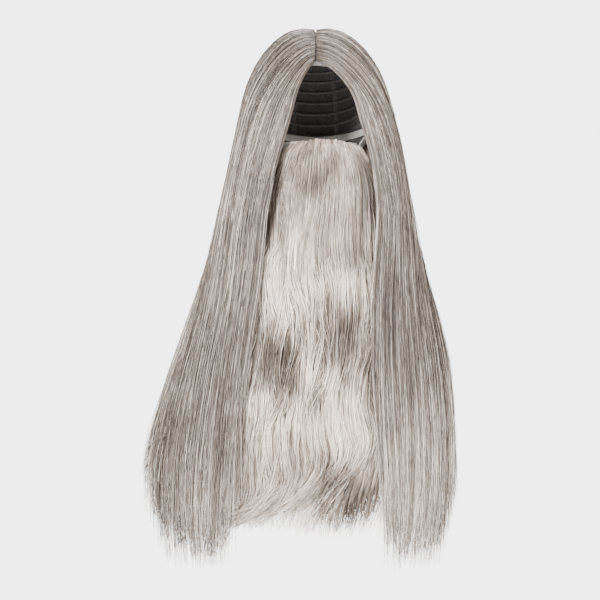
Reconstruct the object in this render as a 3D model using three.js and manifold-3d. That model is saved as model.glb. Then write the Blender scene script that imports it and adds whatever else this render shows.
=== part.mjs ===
// A long straight wig with a centre parting, and the long beard and moustache worn with it.
// Millimetres, +Z up. The wearer faces -Y, and the origin is the crown of the head, inside the cap.
import * as THREE from "three";
import { mergeVertices } from "three/addons/utils/BufferGeometryUtils.js";
import Module from "manifold-3d";

// The head that the set is made for
const headWidth = 156;
const headLength = 194;
const crownHeight = 120; // from the crown down to the level where the head is widest

// The cap, whose rim is high over the forehead and low at the nape
const capWall = 2;
const capFrontDrop = 50;
const capNapeDrop = 158;
const capEarTab = 8;

// The hair of the wig
const hairDrop = 700; // from the crown to the longest tips
const leftReach = 222; // half-width of the hair at its widest, on the wearer's right, which is -X
const rightReach = 181;
const frontReach = 138; // from the middle of the head to the inside of the hair on the chest
const backReach = 116;
const backHalf = 137; // half-width of the hair that hangs down the back
const hairThickness = 12;
const seamGap = 1.2; // between the side hair and the back hair
const hairLift = 1.8; // from the cap to the underside of the hair
const tipSway = 3; // how far the free tips stray to the side

// The beard and the moustache
const lipDrop = 152; // from the crown to the top edge of the moustache, under the nose
const beardRootDrop = 186; // from the crown to the lip, where the beard starts
const beardDrop = 664; // from the crown to the beard's longest tips
const beardHalf = 88;
const beardThickness = 31;
const moustacheHalf = 66;
const moustacheThickness = 14;
const moustacheDrop = 296;
const beardLift = 1.2; // from the backing to the underside of the beard
const moustacheLift = 2; // from the beard to the underside of the moustache
const faceReach = 101; // from the middle of the head to the upper lip
const bellyReach = 126; // from the middle of the head to the back of the beard's end

// The fabric that the beard is sewn to, and its elastic
const backingWall = 2;
const backingHalf = 66;
const backingDrop = 244;
const strapHeight = 9;
const strapWall = 1.2;
const strapGap = 1.6; // from the elastic to the backing and to the cap
const strapEndInset = 12; // from the backing's side edge to the end of the elastic
const strapEarDrop = 122;
const strapNapeDrop = 132;

// The inside of the hair where it lies on the cap
const scalpHalf = headWidth / 2 + capWall + hairLift;
const scalpDeep = headLength / 2 + capWall + hairLift;
const scalpHeight = crownHeight + capWall + hairLift;

// Where each side's hair is rooted, beside the parting: shares of the scalp's half-width and half-length.
// fan is how far the hair over the forehead is combed out to its side.
const partingEdge = { frontOut: 0.03, cornerOut: 0.02, rearOut: 0.02, rearAhead: -0.28 };
const leftRoots = { ...partingEdge, frontAhead: 0.79, cornerAhead: 0.7, fan: 0.04 };
const rightRoots = { ...partingEdge, frontAhead: 0.79, cornerAhead: 0.7, fan: 0.18 };

// How the hair of both sides swings forward over the shoulders, a row for each level below the widest part
// of the head. down is a share of the fall from there to the tips, and thick of the hair's thickness.
// swing goes from the scalp's depth, 0, to the reach, 1, and the ahead columns are shares of that depth.
const sideRows = [
  { down: 0, swing: 0, cornerAhead: 0.83, rearAhead: -0.42, thick: 1 },
  { down: 0.083, swing: 0.093, cornerAhead: 0.79, rearAhead: -0.35, thick: 1 },
  { down: 0.166, swing: 0.25, cornerAhead: 0.78, rearAhead: -0.24, thick: 1 },
  { down: 0.253, swing: 0.43, cornerAhead: 0.845, rearAhead: -0.043, thick: 1 },
  { down: 0.388, swing: 0.585, cornerAhead: 0.918, rearAhead: 0.369, thick: 1 },
  { down: 0.526, swing: 0.74, cornerAhead: 0.938, rearAhead: 0.61, thick: 1 },
  { down: 0.641, swing: 0.845, cornerAhead: 0.955, rearAhead: 0.682, thick: 0.97 },
  { down: 0.741, swing: 0.92, cornerAhead: 0.963, rearAhead: 0.726, thick: 0.92 },
  { down: 0.828, swing: 0.97, cornerAhead: 0.971, rearAhead: 0.745, thick: 0.85 },
  { down: 1, swing: 1, cornerAhead: 0.98, rearAhead: 0.76, thick: 0.7 },
];

// How each side widens: flare goes from the scalp's half-width, 0, to the reach, 1, the out columns are
// shares of the width that it gives, and frontAhead is a share of the depth.
const leftRows = [
  { down: 0, flare: 0, frontOut: 0.386, frontAhead: 0.986, cornerOut: 1.343, rearOut: 0.995 },
  { down: 0.083, flare: 0.209, frontOut: 0.418, frontAhead: 1, cornerOut: 1.055, rearOut: 0.855 },
  { down: 0.166, flare: 0.27, frontOut: 0.496, frontAhead: 1, cornerOut: 1.059, rearOut: 0.874 },
  { down: 0.253, flare: 0.357, frontOut: 0.504, frontAhead: 1, cornerOut: 0.992, rearOut: 0.893 },
  { down: 0.388, flare: 0.52, frontOut: 0.461, frontAhead: 1, cornerOut: 0.877, rearOut: 0.922 },
  { down: 0.526, flare: 0.71, frontOut: 0.47, frontAhead: 1, cornerOut: 0.829, rearOut: 0.939 },
  { down: 0.641, flare: 0.873, frontOut: 0.451, frontAhead: 1, cornerOut: 0.809, rearOut: 0.941 },
  { down: 0.741, flare: 1, frontOut: 0.423, frontAhead: 1, cornerOut: 0.788, rearOut: 0.946 },
  { down: 0.828, flare: 1, frontOut: 0.455, frontAhead: 1, cornerOut: 0.811, rearOut: 0.95 },
  { down: 1, flare: 0.93, frontOut: 0.53, frontAhead: 1, cornerOut: 0.78, rearOut: 0.94 },
];
const rightRows = [
  { down: 0, flare: 0, frontOut: 0.647, frontAhead: 0.93, cornerOut: 1.38, rearOut: 0.995 },
  { down: 0.083, flare: 0.314, frontOut: 0.616, frontAhead: 0.94, cornerOut: 1.09, rearOut: 0.857 },
  { down: 0.166, flare: 0.384, frontOut: 0.664, frontAhead: 0.954, cornerOut: 1.025, rearOut: 0.874 },
  { down: 0.253, flare: 0.503, frontOut: 0.603, frontAhead: 0.98, cornerOut: 0.992, rearOut: 0.893 },
  { down: 0.388, flare: 0.7, frontOut: 0.467, frontAhead: 1, cornerOut: 0.855, rearOut: 0.921 },
  { down: 0.526, flare: 0.92, frontOut: 0.41, frontAhead: 1, cornerOut: 0.8, rearOut: 0.931 },
  { down: 0.641, flare: 0.99, frontOut: 0.406, frontAhead: 1, cornerOut: 0.806, rearOut: 0.933 },
  { down: 0.741, flare: 1, frontOut: 0.431, frontAhead: 1, cornerOut: 0.801, rearOut: 0.928 },
  { down: 0.828, flare: 1, frontOut: 0.448, frontAhead: 1, cornerOut: 0.801, rearOut: 0.934 },
  { down: 1, flare: 0.87, frontOut: 0.51, frontAhead: 1, cornerOut: 0.79, rearOut: 0.93 },
];

// The hair that hangs behind: edgeBehind places its two side edges, and cornerBehind rounds it between them.
const backRows = [
  { down: 0, flare: 0, swing: 0, edgeBehind: 0.42, cornerBehind: 1.69, thick: 1 },
  { down: 0.083, flare: 0.24, swing: 0.1, edgeBehind: 0.376, cornerBehind: 1.7, thick: 1 },
  { down: 0.166, flare: 0.417, swing: 0.2, edgeBehind: 0.292, cornerBehind: 1.71, thick: 1 },
  { down: 0.253, flare: 0.558, swing: 0.3, edgeBehind: 0.364, cornerBehind: 1.65, thick: 1 },
  { down: 0.388, flare: 0.7, swing: 0.5, edgeBehind: 0.65, cornerBehind: 1.346, thick: 1 },
  { down: 0.526, flare: 0.84, swing: 0.7, edgeBehind: 0.793, cornerBehind: 1.225, thick: 1 },
  { down: 0.655, flare: 0.93, swing: 0.9, edgeBehind: 0.849, cornerBehind: 1.146, thick: 0.95 },
  { down: 0.759, flare: 0.98, swing: 1, edgeBehind: 0.862, cornerBehind: 1.12, thick: 0.88 },
  { down: 1, flare: 1, swing: 1, edgeBehind: 0.88, cornerBehind: 1.12, thick: 0.7 },
];

// Where each lock ends, from the front edge to the rear one, as a share of the fall below the widest level.
const leftEnds = [0.97, 1, 0.98, 0.995, 0.965, 0.985, 0.94, 0.955, 0.915, 0.885, 0.85];
const rightEnds = [0.965, 0.99, 1, 0.98, 0.995, 0.97, 0.985, 0.95, 0.925, 0.86];
const backEnds = [0.83, 0.855, 0.87, 0.86, 0.88, 0.865, 0.875, 0.86, 0.88, 0.87, 0.85, 0.83];
const sideSplit = 0.741; // the level where the locks part from each other
const backSplit = 0.7;

// From the roots, -1, to the widest level, 0, and the share of the hair's thickness there
const scalpRows = [
  { down: -1, thick: 0.3 },
  { down: -0.85, thick: 0.58 },
  { down: -0.7, thick: 0.76 },
  { down: -0.55, thick: 0.88 },
  { down: -0.4, thick: 0.95 },
  { down: -0.2, thick: 1 },
  { down: 0, thick: 1 },
];

// The front of the wearer, from the lip to the belly. down is a share of the fall from the lip to the beard's
// longest tips, and ahead goes from the face's reach, 0, to the belly's, 1. round is how far the surface has
// fallen back at the beard's half-width, as a share of that half-width.
const frontRows = [
  { down: 0, ahead: 0, round: 0.86 },
  { down: 0.05, ahead: 0, round: 0.82 },
  { down: 0.1, ahead: -0.04, round: 0.8 },
  { down: 0.15, ahead: -0.12, round: 0.74 },
  { down: 0.2, ahead: -0.08, round: 0.56 },
  { down: 0.29, ahead: 0.08, round: 0.37 },
  { down: 0.39, ahead: 0.28, round: 0.25 },
  { down: 0.49, ahead: 0.48, round: 0.18 },
  { down: 0.6, ahead: 0.64, round: 0.14 },
  { down: 0.71, ahead: 0.76, round: 0.115 },
  { down: 0.81, ahead: 0.86, round: 0.1 },
  { down: 1, ahead: 1, round: 0.09 },
];

// The beard, and the moustache over its top: middle and half are shares of its own half-width,
// and thick of its own thickness. down is a share of its own fall, from its roots to its longest tips.
const beardRows = [
  { down: 0, middle: 0.09, half: 0.66, thick: 0.13 },
  { down: 0.06, middle: 0.08, half: 0.75, thick: 0.38 },
  { down: 0.13, middle: 0.06, half: 0.83, thick: 0.65 },
  { down: 0.24, middle: 0.02, half: 0.89, thick: 0.9 },
  { down: 0.34, middle: -0.01, half: 0.91, thick: 1 },
  { down: 0.45, middle: -0.05, half: 0.94, thick: 1 },
  { down: 0.56, middle: -0.09, half: 0.97, thick: 1 },
  { down: 0.68, middle: -0.09, half: 0.99, thick: 1 },
  { down: 0.78, middle: -0.09, half: 1, thick: 0.94 },
  { down: 0.87, middle: -0.1, half: 1, thick: 0.84 },
  { down: 1, middle: -0.14, half: 0.95, thick: 0.6 },
];
const moustacheRows = [
  { down: 0, middle: 0.17, half: 0.7, thick: 0.36 },
  { down: 0.11, middle: 0.17, half: 0.86, thick: 0.78 },
  { down: 0.235, middle: 0.18, half: 0.95, thick: 0.93 },
  { down: 0.44, middle: 0.16, half: 1.03, thick: 1 },
  { down: 0.68, middle: 0.14, half: 1.06, thick: 0.86 },
  { down: 1, middle: 0.1, half: 1.06, thick: 0.6 },
];
const beardEnds = [0.965, 0.985, 1, 0.995, 1, 0.98, 0.965, 0.955, 0.95, 0.94, 0.935];
const moustacheEnds = [0.84, 0.93, 0.88, 1, 0.9, 0.86, 0.97, 0.9, 0.95];
const beardSplit = 0.87;
const moustacheSplit = 0.68;
const beardCurl = 18; // how far the beard's tips sweep to the wearer's right
const edgeThinness = 0.3; // of the beard's thickness, left at its side edges

// Hollows between the beard's waves: places and sizes are shares of its half-width and its fall.
const beardDents = [
  { across: -0.62, down: 0.535, wide: 0.3, tall: 0.06, deep: 0.24 },
  { across: 0.52, down: 0.45, wide: 0.36, tall: 0.09, deep: 0.26 },
  { across: 0.1, down: 0.62, wide: 0.24, tall: 0.045, deep: 0.14 },
  { across: 0.5, down: 0.87, wide: 0.45, tall: 0.05, deep: 0.26 },
];

// The backing: half-width of the fabric at each level, a share of its own half-width.
const backingRows = [
  { down: 0, half: 0.8 },
  { down: 0.14, half: 0.94 },
  { down: 0.4, half: 1 },
  { down: 0.65, half: 0.97 },
  { down: 0.85, half: 0.8 },
  { down: 1, half: 0.56 },
];

const point = (x, y, z) => new THREE.Vector3(x, y, z);
const mix = THREE.MathUtils.lerp;
const wasm = await Module();
wasm.setup();

// The row of a table at any level, between the two rows beside it.
function rowAt(rows, down) {
  const below = Math.max(1, rows.findIndex((row) => row.down >= down));
  const [a, b] = [rows[below - 1], rows[below]];
  const share = (down - a.down) / (b.down - a.down);
  return Object.fromEntries(Object.keys(a).map((key) => [key, mix(a[key], b[key], share)]));
}

// The levels of a table down to a limit, each with a number of even steps to the next.
function levelsOf(rows, limit, steps) {
  const levels = rows.map((row) => row.down);
  const fine = levels.slice(1).flatMap((next, i) => {
    return Array.from({ length: steps }, (_, step) => mix(levels[i], next, step / steps));
  });
  return fine.filter((level) => level < limit);
}

// A closed mesh as a solid, with its faces turned outwards.
function solidOf(points, triangles) {
  const geometry = new THREE.BufferGeometry().setFromPoints(points).setIndex(triangles.flat());
  const merged = mergeVertices(geometry, 1e-4);
  const corners = [];
  for (let i = 0; i < merged.index.count; i += 3) {
    const three = [0, 1, 2].map((j) => merged.index.getX(i + j));
    if (new Set(three).size === 3) corners.push(...three);
  }
  const build = (list) =>
    new wasm.Manifold(
      new wasm.Mesh({
        numProp: 3,
        vertProperties: merged.attributes.position.array,
        triVerts: new Uint32Array(list),
      }),
    );
  const made = build(corners);
  return made.volume() > 0 ? made : build(corners.toReversed());
}

// A solid as a mesh of its own name and finish.
function meshOf(name, solid, material) {
  const { vertProperties, triVerts } = solid.getMesh();
  const geometry = new THREE.BufferGeometry();
  geometry.setAttribute("position", new THREE.BufferAttribute(vertProperties, 3));
  geometry.setIndex(new THREE.BufferAttribute(triVerts, 1));
  geometry.computeVertexNormals();
  const mesh = new THREE.Mesh(geometry, material);
  mesh.name = name;
  return mesh;
}

// A wall lofted through rows, each with an outer and an inner line. The outer line has a whole number of
// segments for each segment of the inner one.
function loftWall(rows) {
  const outerCount = rows[0].outer.length;
  const innerCount = rows[0].inner.length;
  const round = outerCount + innerCount;
  const ratio = (outerCount - 1) / (innerCount - 1);
  const points = rows.flatMap(({ outer, inner }) => [...outer, ...inner.toReversed()]);
  const triangles = [];
  for (let r = 0; r + 1 < rows.length; r++) {
    for (let i = 0; i < round; i++) {
      const [a, b] = [r * round + i, r * round + ((i + 1) % round)];
      triangles.push([a, b, b + round], [a, b + round, a + round]);
    }
  }
  for (const [first, flip] of [[0, true], [(rows.length - 1) * round, false]]) {
    for (let i = 0; i + 1 < innerCount; i++) {
      const [near, far] = [first + round - 1 - i, first + round - 2 - i];
      const fan = [];
      for (let j = 0; j < ratio; j++) fan.push([first + i * ratio + j, first + i * ratio + j + 1, near]);
      fan.push([first + (i + 1) * ratio, far, near]);
      triangles.push(...fan.map((three) => (flip ? three.toReversed() : three)));
    }
  }
  return solidOf(points, triangles);
}

// How thick a lock is across its width, which makes the hair's outside a row of rounded ridges.
const ridge = [0.74, 1, 0.98, 0.74];
const ridgeSteps = ridge.length - 1;
const liftSpread = 0.07;
const highestLift = 1 + liftSpread;
const lockLift = (lock) => 1 + liftSpread * Math.sin(2.4 * lock);

// A mane is a wall of hair given by three functions of u, across it, and v, down it:
// the point on its inside, the way out from there, and its thickness.
function maneRow(mane, v, locks) {
  const outer = [];
  const inner = [];
  for (let lock = 0; lock < locks; lock++) {
    for (let step = 0; step < ridgeSteps + (lock === locks - 1 ? 1 : 0); step++) {
      const u = (lock + step / ridgeSteps) / locks;
      const lift = step % ridgeSteps ? lockLift(lock) : 1;
      outer.push(mane.at(u, v).addScaledVector(mane.out(u, v), mane.thick(u, v) * ridge[step] * lift));
    }
    inner.push(mane.at(lock / locks, v));
  }
  inner.push(mane.at(1, v));
  return { outer, inner };
}

// The free end of one lock: it starts inside the wall, leaves it at the split and narrows to its tip.
const tipLevels = [
  { free: -0.2, wide: 0.8, thick: 0.8 },
  { free: 0, wide: 0.95, thick: 0.94 },
  { free: 0.5, wide: 0.74, thick: 0.84 },
  { free: 1, wide: 0.14, thick: 0.4 },
];
function lockTip(mane, lock, locks, split, end) {
  const middle = (lock + 0.5) / locks;
  const sway = mane.sway(lock);
  const rows = tipLevels.map(({ free, wide, thick }) => {
    const v = split + free * (end - split);
    const shift = sway.clone().multiplyScalar(Math.max(0, free) ** 2);
    const across = (step) => middle + (wide * (step / ridgeSteps - 0.5)) / locks;
    const lifted = (step, share) => {
      const u = across(step);
      return mane.at(u, v).addScaledVector(mane.out(u, v), mane.thick(u, v) * share).add(shift);
    };
    const base = (1 - thick) / 2;
    const outer = ridge.map((height, step) => lifted(step, base + thick * height));
    return { outer, inner: [lifted(0, base), lifted(ridgeSteps, base)] };
  });
  return loftWall(rows);
}

// A wall of hair with a free tip for each of its locks, fused.
function maneSolid(mane, levels, split, ends) {
  const locks = ends.length;
  const wall = loftWall([...levels, split].map((v) => maneRow(mane, v, locks)));
  return ends.reduce((hair, end, lock) => hair.add(lockTip(mane, lock, locks, split, end)), wall);
}

// A curve through the front, corner and rear of a level.
const bend = (front, corner, rear, u) => (1 - u) ** 2 * front + 2 * u * (1 - u) * corner + u * u * rear;

// The way over the cap, from a root on the unit sphere to a point at the widest level. It is the shortest one,
// apart from fan, which pushes its middle out to the side.
function overCrown(root, rim, share, fan) {
  const to = point(rim.x / scalpHalf, rim.y / scalpDeep, 0);
  const lift = to.length();
  to.normalize();
  const angle = root.angleTo(to);
  const on = root.clone().multiplyScalar(Math.sin((1 - share) * angle));
  on.addScaledVector(to, Math.sin(share * angle)).divideScalar(Math.sin(angle));
  on.x += 4 * share * (1 - share) * fan;
  on.setLength(mix(1, lift, share * share));
  return point(on.x * scalpHalf, on.y * scalpDeep, on.z * scalpHeight - crownHeight);
}

// Straight out from the middle of the head, turning up over the crown.
const outOfHead = (at) => point(at.x, at.y, Math.max(0, at.z + crownHeight)).normalize();

// The wig's hair, rooted on the cap above v = 0 and hanging free below it.
function wigMane(rootAt, hangAt, rows, offset, fan) {
  const at = (u, v) => {
    const on = v < 0 ? overCrown(rootAt(u), hangAt(u, 0), 1 + v, fan * (1 - u) ** 3) : hangAt(u, v);
    return on.add(point(0, offset, 0));
  };
  return {
    at,
    out: (u, v) => outOfHead(at(u, v).sub(point(0, offset, 0))),
    thick: (u, v) => hairThickness * rowAt(v < 0 ? scalpRows : rows, v).thick,
    sway: (lock) => point(Math.sin(2.1 * lock), 0.7 * Math.sin(1.3 * lock), 0).multiplyScalar(tipSway),
  };
}

// The levels of the wig's hair above the split: over the scalp, then below it.
const wigLevels = (rows, split) => {
  return [...scalpRows.map((row) => row.down), ...levelsOf(rows, split, 1).slice(1)];
};
const levelHeight = (down) => -mix(crownHeight, hairDrop, down);

function sideHang(side, reach, rows) {
  return (u, v) => {
    const own = rowAt(rows, v);
    const shared = rowAt(sideRows, v);
    const out = bend(own.frontOut, own.cornerOut, own.rearOut, u);
    const ahead = bend(own.frontAhead, shared.cornerAhead, shared.rearAhead, u);
    const wide = mix(scalpHalf, reach, own.flare);
    const deep = mix(scalpDeep, frontReach, shared.swing);
    return point(side * wide * out, -deep * ahead, levelHeight(v));
  };
}

function sideHair(side, reach, roots, rows, ends) {
  const rootAt = (u) => {
    const x = side * bend(roots.frontOut, roots.cornerOut, roots.rearOut, u);
    const y = -bend(roots.frontAhead, roots.cornerAhead, roots.rearAhead, u);
    return point(x, y, Math.sqrt(1 - x * x - y * y));
  };
  const mane = wigMane(rootAt, sideHang(side, reach, rows), sideRows, -seamGap / 2, side * roots.fan);
  return maneSolid(mane, wigLevels(sideRows, sideSplit), sideSplit, ends);
}

// The back hair is rooted along the line from ear to ear where the side hair ends.
function backHair() {
  const crown = point(0, -partingEdge.rearAhead, Math.sqrt(1 - partingEdge.rearAhead ** 2));
  const earOut = leftRows[0].rearOut;
  const earAngle = Math.atan2(-sideRows[0].rearAhead, earOut);
  const rootAt = (u) => {
    const ear = point(Math.sign(u - 0.5) * Math.cos(earAngle), Math.sin(earAngle), 0);
    const share = 0.96 * Math.abs(2 * u - 1);
    const angle = crown.angleTo(ear);
    const on = crown.clone().multiplyScalar(Math.sin((1 - share) * angle));
    return on.addScaledVector(ear, Math.sin(share * angle)).divideScalar(Math.sin(angle));
  };
  const hangAt = (u, v) => {
    const row = rowAt(backRows, v);
    const wide = mix(scalpHalf * earOut, backHalf, row.flare);
    const deep = mix(scalpDeep, backReach, row.swing);
    return point(
      wide * bend(-1, 0, 1, u),
      deep * bend(row.edgeBehind, row.cornerBehind, row.edgeBehind, u),
      levelHeight(v),
    );
  };
  const mane = wigMane(rootAt, hangAt, backRows, seamGap / 2, 0);
  return maneSolid(mane, wigLevels(backRows, backSplit), backSplit, backEnds);
}

// The cap: a dome over the head that ends in a slanting rim.
function wigCap() {
  const around = 28;
  const rings = 8;
  const profile = (heading, wall) => {
    const halfTurn = (1 - Math.cos(heading)) / 2;
    const drop = mix(capFrontDrop, capNapeDrop, halfTurn) + capEarTab * Math.sin(heading) ** 2;
    const rimAngle = Math.acos(Math.max(0, 1 - drop / crownHeight));
    const whole = rimAngle * crownHeight + Math.max(0, drop - crownHeight);
    return Array.from({ length: rings + 1 }, (_, ring) => {
      const fall = (whole * ring) / rings;
      const polar = Math.min(fall / crownHeight, Math.PI / 2);
      return point(
        (headWidth / 2 + wall) * Math.sin(polar) * Math.sin(heading),
        -(headLength / 2 + wall) * Math.sin(polar) * Math.cos(heading),
        (crownHeight + wall) * Math.cos(polar) - crownHeight - (fall - polar * crownHeight),
      );
    });
  };
  const outline = 2 * (rings + 1);
  const points = [];
  const triangles = [];
  for (let i = 0; i < around; i++) {
    const heading = (2 * Math.PI * i) / around;
    points.push(...profile(heading, capWall), ...profile(heading, 0).toReversed());
    for (let j = 0; j + 1 < outline; j++) {
      const [a, b] = [i * outline + j, ((i + 1) % around) * outline + j];
      triangles.push([a, b, b + 1], [a, b + 1, a + 1]);
    }
  }
  return solidOf(points, triangles);
}

// The front of the wearer: how far ahead it is at a height z and a distance x from the middle.
function frontAt(x, z) {
  const down = THREE.MathUtils.clamp((-z - lipDrop) / (beardDrop - lipDrop), 0, 1);
  const row = rowAt(frontRows, down);
  return -mix(faceReach, bellyReach, row.ahead) + row.round * beardHalf * (x / beardHalf) ** 2;
}

// The thickness of the beard at a place on it, with its dents, before the ridges of its locks.
function beardThick(s, down) {
  const row = rowAt(beardRows, down);
  const dents = beardDents.map((dent) => {
    const away = ((s - dent.across) / dent.wide) ** 2 + ((down - dent.down) / dent.tall) ** 2;
    return dent.deep * Math.exp(-away);
  });
  const crowned = edgeThinness + (1 - edgeThinness) * (1 - Math.abs(s) ** 3);
  return beardThickness * row.thick * crowned * (1 - Math.max(...dents));
}

// Hair on the front of the face: x runs across it, and it stands off the front by a depth of its own.
function faceMane({ rows, half, top, bottom, standOff, thick, curl }) {
  const place = (u, v) => {
    const row = rowAt(rows, v);
    const s = 2 * u - 1;
    const x = half * (row.middle + row.half * s);
    return { s, x, z: -mix(top, bottom, v) };
  };
  return {
    at: (u, v) => {
      const { x, z } = place(u, v);
      return point(x, frontAt(x, z) - standOff(x, z), z);
    },
    out: () => point(0, -1, 0),
    thick: (u, v) => thick(2 * u - 1, v),
    sway: (lock) => point(-curl * (0.7 + 0.3 * Math.sin(1.7 * lock)), tipSway * Math.sin(2.3 * lock), 0),
  };
}

const onBacking = backingWall + beardLift;
function beard() {
  const mane = faceMane({
    rows: beardRows,
    half: beardHalf,
    top: beardRootDrop,
    bottom: beardDrop,
    standOff: () => onBacking,
    thick: beardThick,
    curl: beardCurl,
  });
  return maneSolid(mane, levelsOf(beardRows, beardSplit, 2), beardSplit, beardEnds);
}

// The moustache lies on the backing above the lip and on the beard below it.
function moustache() {
  const overBeard = (x, z) => {
    const down = Math.max(0, (-z - beardRootDrop) / (beardDrop - beardRootDrop));
    const rising = Math.min(1, (-z - lipDrop) / (beardRootDrop - lipDrop));
    const row = rowAt(beardRows, down);
    const s = THREE.MathUtils.clamp((x / beardHalf - row.middle) / row.half, -1, 1);
    return rising * beardThick(s, down) * highestLift;
  };
  const crowned = (s) => edgeThinness + (1 - edgeThinness) * (1 - Math.abs(s) ** 3);
  const parting = (s) => 1 - 0.25 * Math.exp(-((s / 0.12) ** 2));
  const mane = faceMane({
    rows: moustacheRows,
    half: moustacheHalf,
    top: lipDrop,
    bottom: moustacheDrop,
    standOff: (x, z) => onBacking + overBeard(x, z) + moustacheLift,
    thick: (s, v) => moustacheThickness * rowAt(moustacheRows, v).thick * crowned(s) * parting(s),
    curl: 0,
  });
  return maneSolid(mane, levelsOf(moustacheRows, moustacheSplit, 1), moustacheSplit, moustacheEnds);
}

function beardBacking() {
  const steps = 14;
  const rows = backingRows.map(({ down, half }) => {
    const z = -mix(lipDrop, backingDrop, down);
    const line = (wall) =>
      Array.from({ length: steps + 1 }, (_, i) => {
        const x = backingHalf * half * ((2 * i) / steps - 1);
        return point(x, frontAt(x, z) - wall, z);
      });
    return { outer: line(backingWall), inner: line(0) };
  });
  return loftWall(rows);
}

// The elastic: a flat band from one corner of the backing over the ears and round the head to the other.
function beardStrap() {
  const endX = backingHalf - strapEndInset;
  const endDrop = lipDrop + strapHeight;
  const end = point(endX, frontAt(endX, -endDrop) + 2 * strapGap + strapWall, -endDrop);
  const half = headWidth / 2 - strapGap - strapWall;
  const deep = headLength / 2 - strapGap - strapWall;
  const onHead = (degrees, drop) => {
    const heading = THREE.MathUtils.degToRad(degrees);
    return point(half * Math.sin(heading), -deep * Math.cos(heading), -drop);
  };
  const rightHalf = [
    end,
    onHead(66, mix(endDrop, strapEarDrop, 0.6)),
    onHead(90, strapEarDrop),
    onHead(118, mix(strapEarDrop, strapNapeDrop, 0.25)),
    onHead(148, mix(strapEarDrop, strapNapeDrop, 0.7)),
  ];
  const mirrored = rightHalf.map((p) => point(-p.x, p.y, p.z)).toReversed();
  const way = new THREE.CatmullRomCurve3([...rightHalf, onHead(180, strapNapeDrop), ...mirrored]);
  const steps = 44;
  const rows = way.getPoints(steps).map((middle, i) => {
    const along = way.getTangent(i / steps);
    const out = point(along.y, -along.x, 0).normalize();
    if (out.dot(middle) < 0) out.negate();
    const up = out.clone().cross(along).normalize().multiplyScalar(strapHeight / 2);
    const corner = (side, wall) => middle.clone().addScaledVector(up, side).addScaledVector(out, wall);
    const line = (wall) => [corner(-1, wall), corner(1, wall)];
    return { outer: line(strapWall), inner: line(0) };
  });
  return loftWall(rows);
}

const finish = (color, roughness) => new THREE.MeshStandardMaterial({ color, roughness, metalness: 0 });
const wigHair = finish(0xa8a39e, 0.45);
const beardHair = finish(0xc2bbb2, 0.45);
const capNet = finish(0x77736f, 0.9);
const backingFelt = finish(0xb9b2a8, 0.95);
const elastic = finish(0xdedad2, 0.8);

const wig = new THREE.Group();
wig.add(meshOf("wig_cap", wigCap(), capNet));
wig.add(meshOf("side_hair_left", sideHair(-1, leftReach, leftRoots, leftRows, leftEnds), wigHair));
wig.add(meshOf("side_hair_right", sideHair(1, rightReach, rightRoots, rightRows, rightEnds), wigHair));
wig.add(meshOf("back_hair", backHair(), wigHair));

const beardPiece = new THREE.Group();
beardPiece.add(meshOf("beard", beard(), beardHair));
beardPiece.add(meshOf("moustache", moustache(), beardHair));
beardPiece.add(meshOf("beard_backing", beardBacking(), backingFelt));
beardPiece.add(meshOf("beard_strap", beardStrap(), elastic));

const set = new THREE.Group();
set.add(wig, beardPiece);
export default set;
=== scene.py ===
# %% [markdown]
# This lesson dresses a plain CAD model of a wig and beard set. The CAD model gives the exact size and place of
# every piece, as smooth walls. Here each wall of hair becomes locks and thousands of separate fibres, and the
# cap, the felt and the elastic that carry them get their real surface.

# %% Load the frame
import math

import bpy
import numpy as np
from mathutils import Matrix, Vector


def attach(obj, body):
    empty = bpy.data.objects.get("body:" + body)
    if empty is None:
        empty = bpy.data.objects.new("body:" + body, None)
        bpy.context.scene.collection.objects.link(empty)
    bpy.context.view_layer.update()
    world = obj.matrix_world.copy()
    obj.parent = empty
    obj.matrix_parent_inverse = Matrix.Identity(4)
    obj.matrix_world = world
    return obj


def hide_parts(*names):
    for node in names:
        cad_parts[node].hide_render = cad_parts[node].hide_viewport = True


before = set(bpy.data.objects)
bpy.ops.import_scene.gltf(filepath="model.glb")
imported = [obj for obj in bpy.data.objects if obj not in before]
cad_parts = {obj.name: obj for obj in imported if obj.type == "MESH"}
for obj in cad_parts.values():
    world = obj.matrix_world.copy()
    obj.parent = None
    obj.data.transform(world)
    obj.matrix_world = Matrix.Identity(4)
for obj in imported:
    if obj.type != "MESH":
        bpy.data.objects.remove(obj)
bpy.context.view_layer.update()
bpy.ops.object.select_all(action="DESELECT")
for name in ("Cube", "Light", "Camera"):
    if name in bpy.data.objects:
        bpy.data.objects.remove(bpy.data.objects[name])
print("CAD pieces:", sorted(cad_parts))

# %% [markdown]
# The camera comes first, because everything is judged through it. A full-length studio picture is taken from
# about four metres with a long lens, from chest height, so the lens looks up a little. The focal length follows
# from the height that the frame has to hold at that distance.

# %% Camera
mm = 0.001
camera_distance = 4.0
camera_rise = math.radians(-2.5)
frame_height = 0.79
aim = Vector((-0.0205, 0.0, -0.352))

camera = bpy.data.objects.new("camera", bpy.data.cameras.new("camera"))
bpy.context.scene.collection.objects.link(camera)
camera.data.sensor_width = 36
camera.data.lens = camera.data.sensor_width * camera_distance / frame_height
back = Vector((0, -math.cos(camera_rise), math.sin(camera_rise)))
camera.location = aim + back * camera_distance
camera.rotation_euler = (-back).to_track_quat("-Z", "Y").to_euler()
camera.data.clip_end = 100
bpy.context.scene.camera = camera
print("lens", round(camera.data.lens), "mm")

# %% [markdown]
# The set is lit like a catalogue picture: a large soft key light from the front left, a weaker one from the right,
# and one from above and behind that edges the loose fibres.

# %% Lights
def area_light(name, place, size, power):
    light = bpy.data.objects.new(name, bpy.data.lights.new(name, "AREA"))
    bpy.context.scene.collection.objects.link(light)
    light.data.shape = "DISK"
    light.data.size = size
    light.data.energy = power
    light.location = place
    light.rotation_euler = (aim - light.location).to_track_quat("-Z", "Y").to_euler()
    print(name, "light,", power, "W")


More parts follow.
